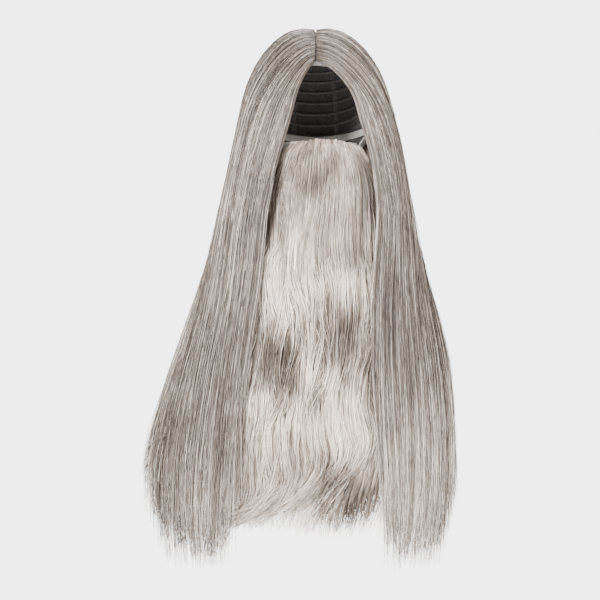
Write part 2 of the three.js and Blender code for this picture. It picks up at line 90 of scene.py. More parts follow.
area_light("key", (-1.9, -3.6, 1.2), size=1.4, power=640)
area_light("fill", (2.8, -3.0, 0.3), size=2.0, power=230)
area_light("top", (0.4, 1.4, 2.4), size=1.2, power=150)

# %% [markdown]
# The camera sees a bright backdrop, but not so bright that it burns out the thin tips in front of it. What falls on
# the hair from it is dimmer, or the hair would lose its shadows. The floor lies as far down as it does when the set
# is worn. Two small helpers make nodes and materials here, and later for the hair and the fabrics too.

# %% Backdrop and floor
def new_node(tree, kind, inputs=(), **settings):
    """A node of this kind, with these settings and with values for its named inputs."""
    node = tree.nodes.new("ShaderNode" + kind)
    for label, value in settings.items():
        setattr(node, label, value)
    for label, value in dict(inputs).items():
        node.inputs[label].default_value = value
    return node


def new_material(name, values):
    """A material with these values on its surface, with its node tree and its surface's inputs."""
    material = bpy.data.materials.new(name)
    material.use_nodes = True
    surface = material.node_tree.nodes["Principled BSDF"].inputs
    for label, value in values.items():
        surface[label].default_value = value
    return material, material.node_tree, surface


seen_strength, cast_strength = 4.6, 1.5
world = bpy.data.worlds.new("studio")
bpy.context.scene.world = world
world.use_nodes = True
sky = world.node_tree
sky.nodes.clear()
seen = new_node(sky, "Background", {"Color": (1, 1, 1, 1), "Strength": seen_strength})
cast = new_node(sky, "Background", {"Color": (1, 0.99, 0.98, 1), "Strength": cast_strength})
pick = new_node(sky, "MixShader")
sky.links.new(new_node(sky, "LightPath").outputs["Is Camera Ray"], pick.inputs["Fac"])
sky.links.new(cast.outputs[0], pick.inputs[1])
sky.links.new(seen.outputs[0], pick.inputs[2])
sky.links.new(pick.outputs[0], new_node(sky, "OutputWorld").inputs["Surface"])

floor_drop, floor_radius = 1.75, 7
bpy.ops.mesh.primitive_circle_add(
    vertices=96, radius=floor_radius, fill_type="NGON", location=(0, 0, -floor_drop)
)
floor = bpy.context.object
floor.name = "floor"
floor_paint, _, _ = new_material("floor_paint", {"Base Color": (0.86, 0.86, 0.85, 1), "Roughness": 0.9})
floor.data.materials.append(floor_paint)
print("floor at", -floor_drop)

# %% [markdown]
# The hair is steered by the same named sizes and short tables as the CAD model, so that it fills the same walls.
# Every table has a column for each value and a row for each level down the hair. Between its rows
# a value follows a smooth cubic, because a fibre has no corners.

# %% Sizes and tables
head = np.array([78, 97, 120]) * mm  # half the head's width and length, and the crown's height over them
cap_wall = 2 * mm
hair_lift = 1.8 * mm
scalp = head + cap_wall + hair_lift
crown_height = head[2]
hair_drop = 700 * mm
front_reach = 138 * mm
back_reach = 116 * mm
back_half = 137 * mm
hair_thickness = 12 * mm
seam_gap = 1.2 * mm


def table(columns, *rows):
    return {name: np.array(values) for name, values in zip(columns.split(), zip(*rows))}


def at_level(rows, column, v):
    x, y = rows["down"], rows[column]
    slope = np.gradient(y, x)
    i = np.clip(np.searchsorted(x, v, side="right") - 1, 0, len(x) - 2)
    width = x[i + 1] - x[i]
    t = np.clip((v - x[i]) / width, 0, 1)
    rise = (2 * t**3 - 3 * t**2 + 1) * y[i] + (3 * t**2 - 2 * t**3) * y[i + 1]
    return rise + width * ((t**3 - 2 * t**2 + t) * slope[i] + (t**3 - t**2) * slope[i + 1])


side_rows = table(
    "down swing corner_ahead rear_ahead thick",
    (0, 0, 0.83, -0.42, 1),
    (0.083, 0.093, 0.79, -0.35, 1),
    (0.166, 0.25, 0.78, -0.24, 1),
    (0.253, 0.43, 0.845, -0.043, 1),
    (0.388, 0.585, 0.918, 0.369, 1),
    (0.526, 0.74, 0.938, 0.61, 1),
    (0.641, 0.845, 0.955, 0.682, 0.97),
    (0.741, 0.92, 0.963, 0.726, 0.92),
    (0.828, 0.97, 0.971, 0.745, 0.85),
    (1, 1, 0.98, 0.76, 0.7),
)
left_rows = table(
    "down flare front_out front_ahead corner_out rear_out",
    (0, 0, 0.386, 0.986, 1.343, 0.995),
    (0.083, 0.209, 0.418, 1, 1.055, 0.855),
    (0.166, 0.27, 0.496, 1, 1.059, 0.874),
    (0.253, 0.357, 0.504, 1, 0.992, 0.893),
    (0.388, 0.52, 0.461, 1, 0.877, 0.922),
    (0.526, 0.71, 0.47, 1, 0.829, 0.939),
    (0.641, 0.873, 0.451, 1, 0.809, 0.941),
    (0.741, 1, 0.423, 1, 0.788, 0.946),
    (0.828, 1, 0.455, 1, 0.811, 0.95),
    (1, 0.93, 0.53, 1, 0.78, 0.94),
)
right_rows = table(
    "down flare front_out front_ahead corner_out rear_out",
    (0, 0, 0.647, 0.93, 1.38, 0.995),
    (0.083, 0.314, 0.616, 0.94, 1.09, 0.857),
    (0.166, 0.384, 0.664, 0.954, 1.025, 0.874),
    (0.253, 0.503, 0.603, 0.98, 0.992, 0.893),
    (0.388, 0.7, 0.467, 1, 0.855, 0.921),
    (0.526, 0.92, 0.41, 1, 0.8, 0.931),
    (0.641, 0.99, 0.406, 1, 0.806, 0.933),
    (0.741, 1, 0.431, 1, 0.801, 0.928),
    (0.828, 1, 0.448, 1, 0.801, 0.934),
    (1, 0.87, 0.51, 1, 0.79, 0.93),
)
back_rows = table(
    "down flare swing edge_behind corner_behind thick",
    (0, 0, 0, 0.42, 1.69, 1),
    (0.083, 0.24, 0.1, 0.376, 1.7, 1),
    (0.166, 0.417, 0.2, 0.292, 1.71, 1),
    (0.253, 0.558, 0.3, 0.364, 1.65, 1),
    (0.388, 0.7, 0.5, 0.65, 1.346, 1),
    (0.526, 0.84, 0.7, 0.793, 1.225, 1),
    (0.655, 0.93, 0.9, 0.849, 1.146, 0.95),
    (0.759, 0.98, 1, 0.862, 1.12, 0.88),
    (1, 1, 1, 0.88, 1.12, 0.7),
)
scalp_rows = table(
    "down thick", (-1, 0.3), (-0.85, 0.58), (-0.7, 0.76), (-0.55, 0.88), (-0.4, 0.95), (-0.2, 1), (0, 1)
)
print("levels:", len(side_rows["down"]), "for the sides,", len(back_rows["down"]), "for the back")

# %% [markdown]
# A wall of hair is a function here. It takes u, across the wall from its front edge to its rear one, v, down it
# from the roots at -1 over the widest level at 0 to the tips at 1, and a depth between the wall's inside, 0, and its
# outside, 1. It gives points and the way out from them, for whole arrays of fibres at once.

# %% Walls of the wig's hair
def mix(a, b, share):
    return a + (b - a) * share


def bend(front, corner, rear, u):
    return (1 - u) ** 2 * front + 2 * u * (1 - u) * corner + u**2 * rear


def unit(vectors):
    return vectors / np.maximum(np.linalg.norm(vectors, axis=-1, keepdims=True), 1e-9)


def level_height(v):
    return -mix(crown_height, hair_drop, v)


def on_arc(start, end, share):
    """The place at this share of the way from one unit vector to another, round the crown."""
    angle = np.arccos(np.clip((start * end).sum(-1), -1, 1))
    on = start * np.sin((1 - share) * angle)[..., None] + end * np.sin(share * angle)[..., None]
    return on / np.sin(angle)[..., None]


def over_crown(root, rim, share, fan):
    to = rim / scalp * (1, 1, 0)
    lift = np.linalg.norm(to, axis=-1)
    on = on_arc(root, unit(to), share)
    on[..., 0] += 4 * share * (1 - share) * fan
    on = unit(on) * mix(1, lift, share**2)[..., None]
    return on * scalp - (0, 0, crown_height)


def wig_wall(root_at, hang_at, rows, offset, fan):
    def place(u, v, depth):
        rim = hang_at(u, np.zeros_like(u))
        above = over_crown(root_at(u), rim, 1 + np.clip(v, -1, 0), fan * (1 - u) ** 3)
        on = np.where((v < 0)[..., None], above, hang_at(u, np.maximum(v, 0)))
        out = unit(on * (1, 1, 0) + np.maximum(0, on[..., 2:] + crown_height) * (0, 0, 1))
        thick = np.where(v < 0, at_level(scalp_rows, "thick", v), at_level(rows, "thick", v))
        return on + out * (hair_thickness * thick * depth)[..., None] + (0, offset, 0), out

    return place


parting_rear = -0.28


def side_wall(side, reach, rows, fan):
    def root_at(u):
        x = side * bend(0.014, 0.008, 0.008, u)
        y = -bend(0.79, 0.7, parting_rear, u)
        return np.stack([x, y, np.sqrt(1 - x**2 - y**2)], -1)

    def hang_at(u, v):
        out = bend(*[at_level(rows, column, v) for column in ("front_out", "corner_out", "rear_out")], u)
        ahead = bend(
            at_level(rows, "front_ahead", v),
            at_level(side_rows, "corner_ahead", v),
            at_level(side_rows, "rear_ahead", v),
            u,
        )
        wide = mix(scalp[0], reach, at_level(rows, "flare", v))
        deep = mix(scalp[1], front_reach, at_level(side_rows, "swing", v))
        return np.stack([side * wide * out, -deep * ahead, level_height(v)], -1)

    return wig_wall(root_at, hang_at, side_rows, -seam_gap / 2, side * fan)


def back_wall():
    crown = np.array([0, -parting_rear, math.sqrt(1 - parting_rear**2)])
    ear_out = left_rows["rear_out"][0]
    ear_angle = math.atan2(-side_rows["rear_ahead"][0], ear_out)

    def root_at(u):
        ear = np.stack([np.sign(u - 0.5) * math.cos(ear_angle), 0 * u + math.sin(ear_angle), 0 * u], -1)
        return on_arc(crown, ear, 0.96 * np.abs(2 * u - 1))

    def hang_at(u, v):
        wide = mix(scalp[0] * ear_out, back_half, at_level(back_rows, "flare", v))
        deep = mix(scalp[1], back_reach, at_level(back_rows, "swing", v))
        edge, corner = at_level(back_rows, "edge_behind", v), at_level(back_rows, "corner_behind", v)
        across, behind = wide * bend(-1, 0, 1, u), deep * bend(edge, corner, edge, u)
        return np.stack([across, behind, level_height(v)], -1)

    return wig_wall(root_at, hang_at, back_rows, seam_gap / 2, 0)


left_reach, right_reach = 222 * mm, 181 * mm
left_wall = side_wall(-1, left_reach, left_rows, fan=0.04)
right_wall = side_wall(1, right_reach, right_rows, fan=0.18)
rear_wall = back_wall()
spread, _ = left_wall(np.linspace(0, 1, 9), np.full(9, 0.8), np.ones(9))
print("left side, width of its fall near the tips:", round(float(np.ptp(spread[:, 0])), 3), "m")

# %% [markdown]
# The beard and the moustache are walls too, but they lie in front of the chin and the chest instead of round the
# head. Hollows between the beard's waves make it thinner in four places, which is where the photo shows it dark.

# %% Walls of the beard and the moustache
lip_drop, beard_root_drop, beard_drop = 152 * mm, 186 * mm, 664 * mm
moustache_drop = 296 * mm
beard_half, moustache_half = 88 * mm, 66 * mm
beard_thickness, moustache_thickness = 31 * mm, 14 * mm
face_reach, belly_reach = 101 * mm, 126 * mm
on_backing = 3.2 * mm
moustache_lift = 2 * mm

front_rows = table(
    "down ahead round",
    (0, 0, 0.86),
    (0.05, 0, 0.82),
    (0.1, -0.04, 0.8),
    (0.15, -0.12, 0.74),
    (0.2, -0.08, 0.56),
    (0.29, 0.08, 0.37),
    (0.39, 0.28, 0.25),
    (0.49, 0.48, 0.18),
    (0.6, 0.64, 0.14),
    (0.71, 0.76, 0.115),
    (0.81, 0.86, 0.1),
    (1, 1, 0.09),
)
beard_rows = table(
    "down middle half thick",
    (0, 0.09, 0.66, 0.13),
    (0.06, 0.08, 0.75, 0.38),
    (0.13, 0.06, 0.83, 0.65),
    (0.24, 0.02, 0.89, 0.9),
    (0.34, -0.01, 0.91, 1),
    (0.45, -0.05, 0.94, 1),
    (0.56, -0.09, 0.97, 1),
    (0.68, -0.09, 0.99, 1),
    (0.78, -0.09, 1, 0.94),
    (0.87, -0.1, 1, 0.84),
    (1, -0.14, 0.95, 0.6),
)
moustache_rows = table(
    "down middle half thick",
    (0, 0.17, 0.7, 0.36),
    (0.11, 0.17, 0.86, 0.78),
    (0.235, 0.18, 0.95, 0.93),
    (0.44, 0.16, 1.03, 1),
    (0.68, 0.14, 1.06, 0.86),
    (1, 0.1, 1.06, 0.6),
)
dents = table(
    "across down wide tall deep",
    (-0.62, 0.535, 0.3, 0.06, 0.24),
    (0.52, 0.45, 0.36, 0.09, 0.26),
    (0.1, 0.62, 0.24, 0.045, 0.14),
    (0.5, 0.87, 0.45, 0.05, 0.26),
)


def front_at(x, z):
    down = np.clip((-z - lip_drop) / (beard_drop - lip_drop), 0, 1)
    reach = mix(face_reach, belly_reach, at_level(front_rows, "ahead", down))
    return -reach + at_level(front_rows, "round", down) * beard_half * (x / beard_half) ** 2


def crowned(s):
    return 0.3 + 0.7 * (1 - np.minimum(np.abs(s), 1) ** 3)


def beard_thick(s, down):
    hollow = [
        dents["deep"][i]
        * np.exp(
            -(((s - dents["across"][i]) / dents["wide"][i]) ** 2)
            - ((down - dents["down"][i]) / dents["tall"][i]) ** 2
        )
        for i in range(len(dents["deep"]))
    ]
    return beard_thickness * at_level(beard_rows, "thick", down) * crowned(s) * (1 - np.max(hollow, 0))


def over_beard(x, z):
    down = np.maximum(0, (-z - beard_root_drop) / (beard_drop - beard_root_drop))
    rising = np.clip((-z - lip_drop) / (beard_root_drop - lip_drop), 0, 1)
    s = (x / beard_half - at_level(beard_rows, "middle", down)) / at_level(beard_rows, "half", down)
    return rising * beard_thick(np.clip(s, -1, 1), down) * 1.07


def moustache_thick(s, down):
    parting = 1 - 0.25 * np.exp(-((s / 0.12) ** 2))
    return moustache_thickness * at_level(moustache_rows, "thick", down) * crowned(s) * parting


def face_wall(rows, half, top, bottom, stand_off, thick):
    def place(u, v, depth):
        s = 2 * u - 1
        x = half * (at_level(rows, "middle", v) + at_level(rows, "half", v) * s)
        z = -mix(top, bottom, v)
        y = front_at(x, z) - stand_off(x, z) - depth * thick(s, v)
        out = unit(np.stack([0.5 * s**3, -np.ones_like(s), 0 * s], -1))
        return np.stack([x, y, z], -1), out

    return place


beard_wall = face_wall(
    beard_rows, beard_half, beard_root_drop, beard_drop, lambda x, z: on_backing, beard_thick
)
moustache_wall = face_wall(
    moustache_rows,
    moustache_half,
    lip_drop,
    moustache_drop,
    lambda x, z: on_backing + over_beard(x, z) + moustache_lift,
    moustache_thick,
)
centre, _ = beard_wall(np.array([0.5]), np.array([0.5]), np.ones(1))
print("beard's outside at its middle:", np.round(centre[0], 3), "m")

# %% [markdown]
# A fibre could be a curve with a bevel, but thousands of curves are slow to evaluate and hard to export. Instead one
# fibre is modelled once, as a cylinder whose long edges are subdivided, and its vertices are then laid along every
# path in one array. The same is done with a rounder cylinder for the flat locks under the fibres.

# %% Model one fibre and one lock
def model_tube(sides, rings):
    bpy.ops.object.select_all(action="DESELECT")
    bpy.ops.mesh.primitive_cylinder_add(vertices=sides, radius=1, depth=1, end_fill_type="NGON")
    tube = bpy.context.object
    bpy.context.tool_settings.mesh_select_mode = (False, True, False)
    bpy.ops.object.mode_set(mode="EDIT")
    bpy.ops.mesh.select_all(action="DESELECT")
    bpy.ops.object.mode_set(mode="OBJECT")
    for edge in tube.data.edges:
        low, high = (tube.data.vertices[i].co.z for i in edge.vertices)
        edge.select = abs(high - low) > 0.5
    bpy.ops.object.mode_set(mode="EDIT")
    bpy.ops.mesh.subdivide(number_cuts=rings - 2)
    bpy.ops.object.mode_set(mode="OBJECT")
    mesh = tube.data
    co = np.zeros(len(mesh.vertices) * 3)
    mesh.vertices.foreach_get("co", co)
    co = co.reshape(-1, 3)
    corners = np.zeros(len(mesh.loops), np.int32)
    mesh.loops.foreach_get("vertex_index", corners)
    starts = np.zeros(len(mesh.polygons), np.int32)
    mesh.polygons.foreach_get("loop_start", starts)
    made = {
        "ring": np.rint((co[:, 2] + 0.5) * (rings - 1)).astype(int),
        "across": co[:, 0],
        "outward": co[:, 1],
        "corners": corners,
        "starts": starts,
        "rings": rings,
    }
    bpy.data.objects.remove(tube)
    return made


print("a fibre has", len(model_tube(3, 13)["ring"]), "vertices")

# %% [markdown]
# Laying a tube along a path needs three directions at each ring: along the path, out of the hair, and across both.
# The mesh also keeps two attributes for the materials. "tone" says how light each place is, and "fibre" is a place in
# metres across, out of and along the lock, so that a pattern can run down the hair wherever it bends.

# %% Lay tubes along paths
def lay(name, tube, path, out, wide, thick, tone, lane):
    count, rings, _ = path.shape
    along = unit(np.gradient(path, axis=1))
    side = unit(np.cross(out, along))
    up = np.cross(along, side)
    ring = tube["ring"]
    x = tube["across"] * wide[:, ring]
    y = tube["outward"] * thick[:, ring]
    points = path[:, ring] + side[:, ring] * x[..., None] + up[:, ring] * y[..., None]
    run = np.linalg.norm(np.diff(path, axis=1, prepend=path[:, :1]), axis=-1).cumsum(1)
    fibre = np.stack([lane[:, None] + x, y, run[:, ring]], -1)
    vertices = len(ring)
    corners = tube["corners"] + vertices * np.arange(count)[:, None]
    starts = tube["starts"] + len(tube["corners"]) * np.arange(count)[:, None]

    mesh = bpy.data.meshes.new(name)
    mesh.vertices.add(count * vertices)
    mesh.vertices.foreach_set("co", points.astype(np.float32).ravel())
    mesh.loops.add(corners.size)
    mesh.loops.foreach_set("vertex_index", corners.astype(np.int32).ravel())
    mesh.polygons.add(starts.size)
    mesh.polygons.foreach_set("loop_start", starts.astype(np.int32).ravel())
    mesh.polygons.foreach_set("use_smooth", np.ones(starts.size, bool))
    mesh.attributes.new("tone", "FLOAT", "POINT").data.foreach_set(
        "value", np.clip(tone, 0, 1)[:, ring].astype(np.float32).ravel()
    )
    mesh.attributes.new("fibre", "FLOAT_VECTOR", "POINT").data.foreach_set(
        "vector", fibre.astype(np.float32).ravel()
    )
    mesh.update(calc_edges=True)
    piece = bpy.data.objects.new(name, mesh)
    bpy.context.scene.collection.objects.link(piece)
    return piece


def tell(*pieces):
    for piece in pieces:
        print(piece.name, sum(len(face.vertices) - 2 for face in piece.data.polygons), "triangles")


print("each laid tube carries two attributes, tone and fibre")

# %% [markdown]
# Hair never lies evenly: fibres gather in locks, the locks end at different lengths, and some fibres start lower on
# the cap than others. So each fibre belongs to the nearest of a set of lock lines and closes in on it towards the
# tips. What differs from fibre to fibre is a column here and the places along a fibre are a row, so that numpy
# works out all the fibres of a piece at once.

# %% Lines, ends and widths
def ramp(value, low, high):
    """0 up to low, 1 from high on, and even in between."""
    return np.clip((value - low) / (high - low), 0, 1)


def either(chance, first, second, size, rng):
    """By this chance a number from the first range, or else one from the second."""
    return np.where(rng.random(size) < chance, rng.uniform(*first, size), rng.uniform(*second, size))


def lock_lines(count, rng):
    return (np.arange(count) + 0.5 + rng.uniform(-0.3, 0.3, count)) / count


def layered_lines(count, layers, rng):
    """Lines for the locks in each layer of a wall, and the depth of each."""
    lines = np.concatenate([lock_lines(count, rng) for _ in layers])
    return lines[:, None], np.repeat(layers, count)[:, None]


def gathered(count, locks, rng):
    """Places for fibres across a wall, the lock line nearest to each, and the number of that lock."""
    u0 = ((rng.permutation(count) + rng.random(count)) / count)[:, None]
    lines = lock_lines(locks, rng)
    near = np.abs(u0 - lines).argmin(1)[:, None]
    return u0, lines[near], near


def ends_of(ends, u):
    return np.interp(u, (np.arange(len(ends)) + 0.5) / len(ends), ends)


def smoothed(path):
    path[:, 1:-1] = 0.25 * path[:, :-2] + 0.5 * path[:, 1:-1] + 0.25 * path[:, 2:]
    return path


def taper(share, root, tip, narrows=0.55):
    """A share of the full width, which grows from the root and shrinks to the tip from narrows on."""
    return mix(root, 1, ramp(share, 0, 0.12)) * mix(1, tip, ramp(share, narrows, 1) ** 1.5)


print("a lock's width at root, middle and tip:", taper(np.array([0, 0.5, 1]), 0.6, 0.1))

# %% [markdown]
# The set's grey is a mix: many light fibres, some darker ones and, in the wig, a third that are quite dark. Broad
# patches of the hair are lighter or darker besides: they are painted light and painted shade, where the waved hair
# catches the light or lies in shade, and the wig's crown is painted darker towards its top, as shade. Each fibre
# looks up its patch a little beside its own place, so that no patch has a hard edge.

# %% Tones
wig_kinds = [(0.44, 0.5, 0.13), (0.22, 0.33, 0.08), (0.34, 0.13, 0.07)]
beard_kinds = [(0.64, 0.83, 0.08), (0.22, 0.64, 0.08), (0.14, 0.4, 0.08)]


def mixed_tone(kinds, size, rng):
    """A tone for each fibre, from kinds of (share, tone, spread)."""
    shares, tones, spreads = np.array(kinds).T
    kind = rng.choice(len(kinds), size, p=shares)
    return tones[kind] + rng.normal(0, 1, size) * spreads[kind]


def beside(path, spread, rng):
    return path + rng.normal(0, spread, (len(path), 1, 3))


def patches(path, spots):
    """What the spots, whose places and sizes are in millimetres, add to the tone at each place."""
    x, z = path[..., 0] / mm, path[..., 2] / mm
    total = 0 * x
    for i, amount in enumerate(spots["amount"]):
        away = ((x - spots["x"][i]) / spots["wide"][i]) ** 2 + ((z - spots["z"][i]) / spots["tall"][i]) ** 2
        total = total + amount * np.exp(-(away**1.6))
    return total


# Painted light and painted shade: lighter and darker patches of the side hair, where it catches the light or lies in
# shade.
side_light_and_shade = table(
    "x z wide tall amount",
    (-125, -215, 18, 70, 0.1),
    (-80, -190, 14, 90, -0.12),
    (-130, -455, 26, 75, -0.13),
    (-195, -550, 28, 45, -0.16),
    (-130, -640, 46, 56, 0.17),
    (-222, -575, 16, 60, 0.2),
    (-72, -150, 20, 80, 0.08),
    (92, -375, 18, 75, -0.25),
    (140, -370, 24, 90, -0.15),
    (120, -610, 50, 110, 0.25),
)
# Painted shade: how much darker the crown is painted towards its top.
crown_shade = 0.16


def wig_light_and_shade(path):
    return patches(path, side_light_and_shade) - crown_shade * ramp(path[..., 2] / mm, -130, -30)


print("patches:", len(side_light_and_shade["x"]), "in the side hair")

# %% [markdown]
# The locks are flat and fill the wall so that no light shows through it, and their dark tone is painted shade, the
# shadow between the fibres that lie over them. They lie in two layers. Where the side hair ends over the back hair,
# its rear edge thins out over the head, or a step would show there.

# %% Wig locks
left_ends = [0.97, 1, 0.98, 0.995, 0.965, 0.985, 0.94, 0.955, 0.915, 0.885, 0.85]
right_ends = [0.965, 0.99, 1, 0.98, 0.995, 0.97, 0.985, 0.95, 0.925, 0.86]
back_ends = [0.83, 0.855, 0.87, 0.86, 0.88, 0.865, 0.875, 0.86, 0.88, 0.87, 0.85, 0.83]
lane_spread = 10


def rear_edge(u, v, first):
    return ramp(u, first, first + 0.1) * ramp(-v, 0, 0.15)


def wig_locks(name, wall, ends, count, half_wide, seed, thinned, rings=25, root=-0.99, half_thick=2.2 * mm):
    rng = np.random.default_rng(seed)
    lines, depth = layered_lines(count, [0.3, 0.62], rng)
    share = np.linspace(0, 1, rings)
    end = ends_of(ends, lines) - rng.uniform(0.03, 0.1, lines.shape)
    v = mix(root, end, share)
    u = np.clip(lines + 0 * v, 0.012, 0.988)
    depth = depth * np.maximum(0.4, ramp(share, 0, 0.05))
    path, out = wall(u, v, depth * (1 - thinned * rear_edge(u, v, 0.88)))
    gap = 0.5 / count
    one, other = (wall(np.clip(u + step, 0, 1), v, 0 * v)[0] for step in (gap, -gap))
    shape = taper(share, 0.6, 0.1, narrows=0.8)
    wide = np.clip(np.linalg.norm(one - other, axis=-1) * 0.8, 2 * mm, half_wide) * shape
    # Painted shade: a dark tone for the locks, as the shadow under the fibres.
    tone = np.clip(rng.normal(0.22, 0.06, lines.shape), 0, 1) + 0 * v
    lane = rng.uniform(0, lane_spread, len(lines))
    thick = half_thick * shape * np.where(v < 0, at_level(scalp_rows, "thick", v), 1)
    return lay(name, model_tube(8, rings), smoothed(path), out, wide, thick, tone, lane)


wig_pieces = [
    wig_locks("left_locks", left_wall, left_ends, count=22, half_wide=8 * mm, seed=11, thinned=0.8),
    wig_locks("right_locks", right_wall, right_ends, count=20, half_wide=8 * mm, seed=12, thinned=0.8),
    wig_locks("back_locks", rear_wall, back_ends, count=30, half_wide=10 * mm, seed=13, thinned=0),
]
tell(*wig_pieces)

# %% [markdown]
# The fibres of the wig are straight. Most start at the parting and lie in the outer part of the wall, and the others
# come out lower and lie deeper. Below the head, where they hang free, they close in on their lock and sway a little,
# and a few stray further or stand off. Their ends follow those of the locks, each shorter by chance.

# %% Wig fibres
def wig_fibres(name, wall, ends, count, locks, seed, thinned, rings=17):
    rng = np.random.default_rng(seed)
    size = (count, 1)
    u0, line, near = gathered(count, locks, rng)
    lock_tone = rng.normal(0, 0.07, locks)
    lock_short = rng.uniform(0, 0.05, locks)
    share = np.linspace(0, 1, rings)
    start = either(0.6, (-1, -0.97), (-0.95, -0.15), size, rng)
    end = ends_of(ends, line) - lock_short[near] - rng.exponential(0.034, size)
    end = np.minimum(end + np.where(rng.random(size) < 0.2, 0.06, 0), 1 - rng.uniform(0, 0.04, size))
    v = mix(start, end, share)
    free = np.clip(v, 0, 1)

    # Across the wall: closing in on the lock, wandering, and a third of them drifting off.
    gather = rng.uniform(0.1, 0.7, size) * free**1.6
    wander = rng.normal(0, 1.3 / locks, size) * np.sin(free * math.pi * 1.2)
    wander += rng.normal(0, 0.5 / locks, size) * np.sin(free * math.pi * 3 + rng.uniform(0, 6, size)) * free
    drift = np.where(rng.random(size) < 0.3, rng.normal(0, 0.05, size), 0) * free**1.3
    u = np.clip(mix(u0, line, gather) + wander + drift, -0.06, 1.02)

    # Through the wall: each rises from the inside to its layer over its first stretch.
    layer = either(0.8, (0.72, 1.05), (0.02, 0.7), size, rng)
    rise = mix(0.3, 1, ramp(share, 0, 0.06))
    low_root = np.where(start > -0.93, 0.25, 0) * (1 - rise)
    path, out = wall(u, v, (layer * rise + 0.05 + low_root) * (1 - thinned * rear_edge(u, v, 0.9)))
    path = smoothed(path)

    # The sway to the side, and the few that stand off.
    stray = either(0.08, (3, 10), (0.5, 2), size, rng) * mm
    phase = rng.uniform(0, 2 * math.pi, (count, 3))
    side = unit(np.cross(out, unit(np.gradient(path, axis=1))))
    sway = np.sin(phase[:, :1] + free * rng.uniform(3, 9, size)) * stray * free**1.2
    sway += rng.normal(0, 5, size) * mm * ramp(share, 0.8, 1) ** 2
    sway += np.sin(phase[:, 2:] + free * rng.uniform(16, 30, size)) * 0.7 * mm * np.clip(free * 6, 0, 1)
    path += side * sway[..., None]
    loose = np.where(rng.random(size) < 0.07, rng.uniform(3, 8, size) * mm, 0.35 * stray)
    path += out * (np.maximum(0, np.sin(phase[:, 1:2] + free * 6)) * loose * free**0.7)[..., None]

    wide = rng.uniform(0.24, 0.46, size) * mm * taper(share, 0.8, 0.5)
    tone = mixed_tone(wig_kinds, size, rng) + lock_tone[near]
    tone = tone + wig_light_and_shade(beside(path, 9 * mm, rng)) + 0.1 * ramp(share, 0.85, 1)
    lane = rng.uniform(0, lane_spread, count)
    return lay(name, model_tube(3, rings), path, out, wide, wide * 0.8, tone, lane)


wig_pieces += [
    wig_fibres("left_fibres", left_wall, left_ends, count=1950, locks=46, seed=21, thinned=0.35),
    wig_fibres("right_fibres", right_wall, right_ends, count=1850, locks=42, seed=22, thinned=0.35),
    wig_fibres("back_fibres", rear_wall, back_ends, count=1400, locks=54, seed=23, thinned=0),
]
tell(*wig_pieces[3:])

# %% [markdown]
# The beard's hair is waved, and neighbouring fibres wave together, so the waves come from one smooth function of
# the place in the wall and not from each fibre's own chance. Its tips sweep to one side, further in the outer layer,
# which ends higher on the right and shows the hair beneath, painted darker as shade. Spots of painted light and
# painted shade lie in the beard's tone, where its waves catch the light or lie in shade, and they push the hair out a
# little where they are light and in where they are dark.

# %% Waves and sweep of the beard
# Painted light and painted shade: spots that make the beard's tone lighter where its waves catch the light and darker
# where they lie in shade.
beard_light_and_shade = table(
    "x z wide tall amount",
    (40, -410, 43, 56, -0.54),
    (-54, -437, 34, 42, -0.6),
    (-20, -482, 24, 18, -0.26),
    (-6, -418, 8, 50, 0.3),
    (22, -446, 14, 16, 0.3),
    (32, -520, 28, 46, 0.12),
    (-60, -515, 26, 36, 0.1),
    (40, -610, 46, 36, -0.75),
    (-62, -612, 50, 34, -0.14),
    (62, -292, 28, 22, -0.24),
    (78, -290, 16, 14, 0.4),
    (-30, -325, 40, 42, 0.14),
    (-12, -180, 70, 42, -0.25),
    (-10, -240, 86, 60, -0.12),
    (-86, -528, 10, 20, -0.3),
)


def beard_path(u, v, layer, own):
    """Waved and swept paths. own varies a fibre's wave and sweep, and layer is its depth in the beard."""
    root = np.clip((v - v[:, :1]) / (0.1 * (v[:, -1:] - v[:, :1])), 0.15, 1)
    path, out = beard_wall(np.clip(u, -0.03, 1.1), v, layer * root)
    grow = ramp(v, 0, 0.25) * own
    run = 2 * math.pi * (beard_drop - beard_root_drop) * v
    flow = 5 * np.sin(run / 0.23 + 2.4 * u + 0.6) + 1.6 * np.sin(run / 0.12 + 6 * u + 2.5)
    path[..., 0] += (flow + 0.9 * np.sin(run / 0.055 + 13 * u + 1)) * mm * grow
    path[..., 1] -= 2.4 * mm * np.sin(run / 0.12 + 4 * u + 2) * grow * (0.3 + 0.7 * layer)
    path[..., 1] -= 4 * mm * patches(path, beard_light_and_shade) * grow * layer
    curl = mix(42, 88, np.clip(u, 0, 1)) * mm * own * np.clip(2.6 * layer - 1, 0.08, 1)
    swept = np.clip((v - mix(0.84, 0.7, u)) / mix(0.16, 0.24, u), 0, 1.3)
    path[..., 0] -= curl * swept**1.8
    path[..., 2] += 0.22 * curl * swept**2
    return path, out


def beard_end(u, layer):
    outer = np.interp(u, [0, 0.4, 0.75, 1], [0.975, 0.985, 0.93, 0.9])
    inner = np.interp(u, [0, 0.4, 0.75, 1], [0.96, 0.97, 0.975, 0.96])
    return np.where(layer > 0.6, outer, inner)


print("patches:", len(beard_light_and_shade["x"]), "in the beard")

# %% [markdown]
# The beard is filled by locks in three layers, and its fibres run over and between them. All the fibres of a lock
# turn together besides, out and to the side, which gives the beard its fine wisps.

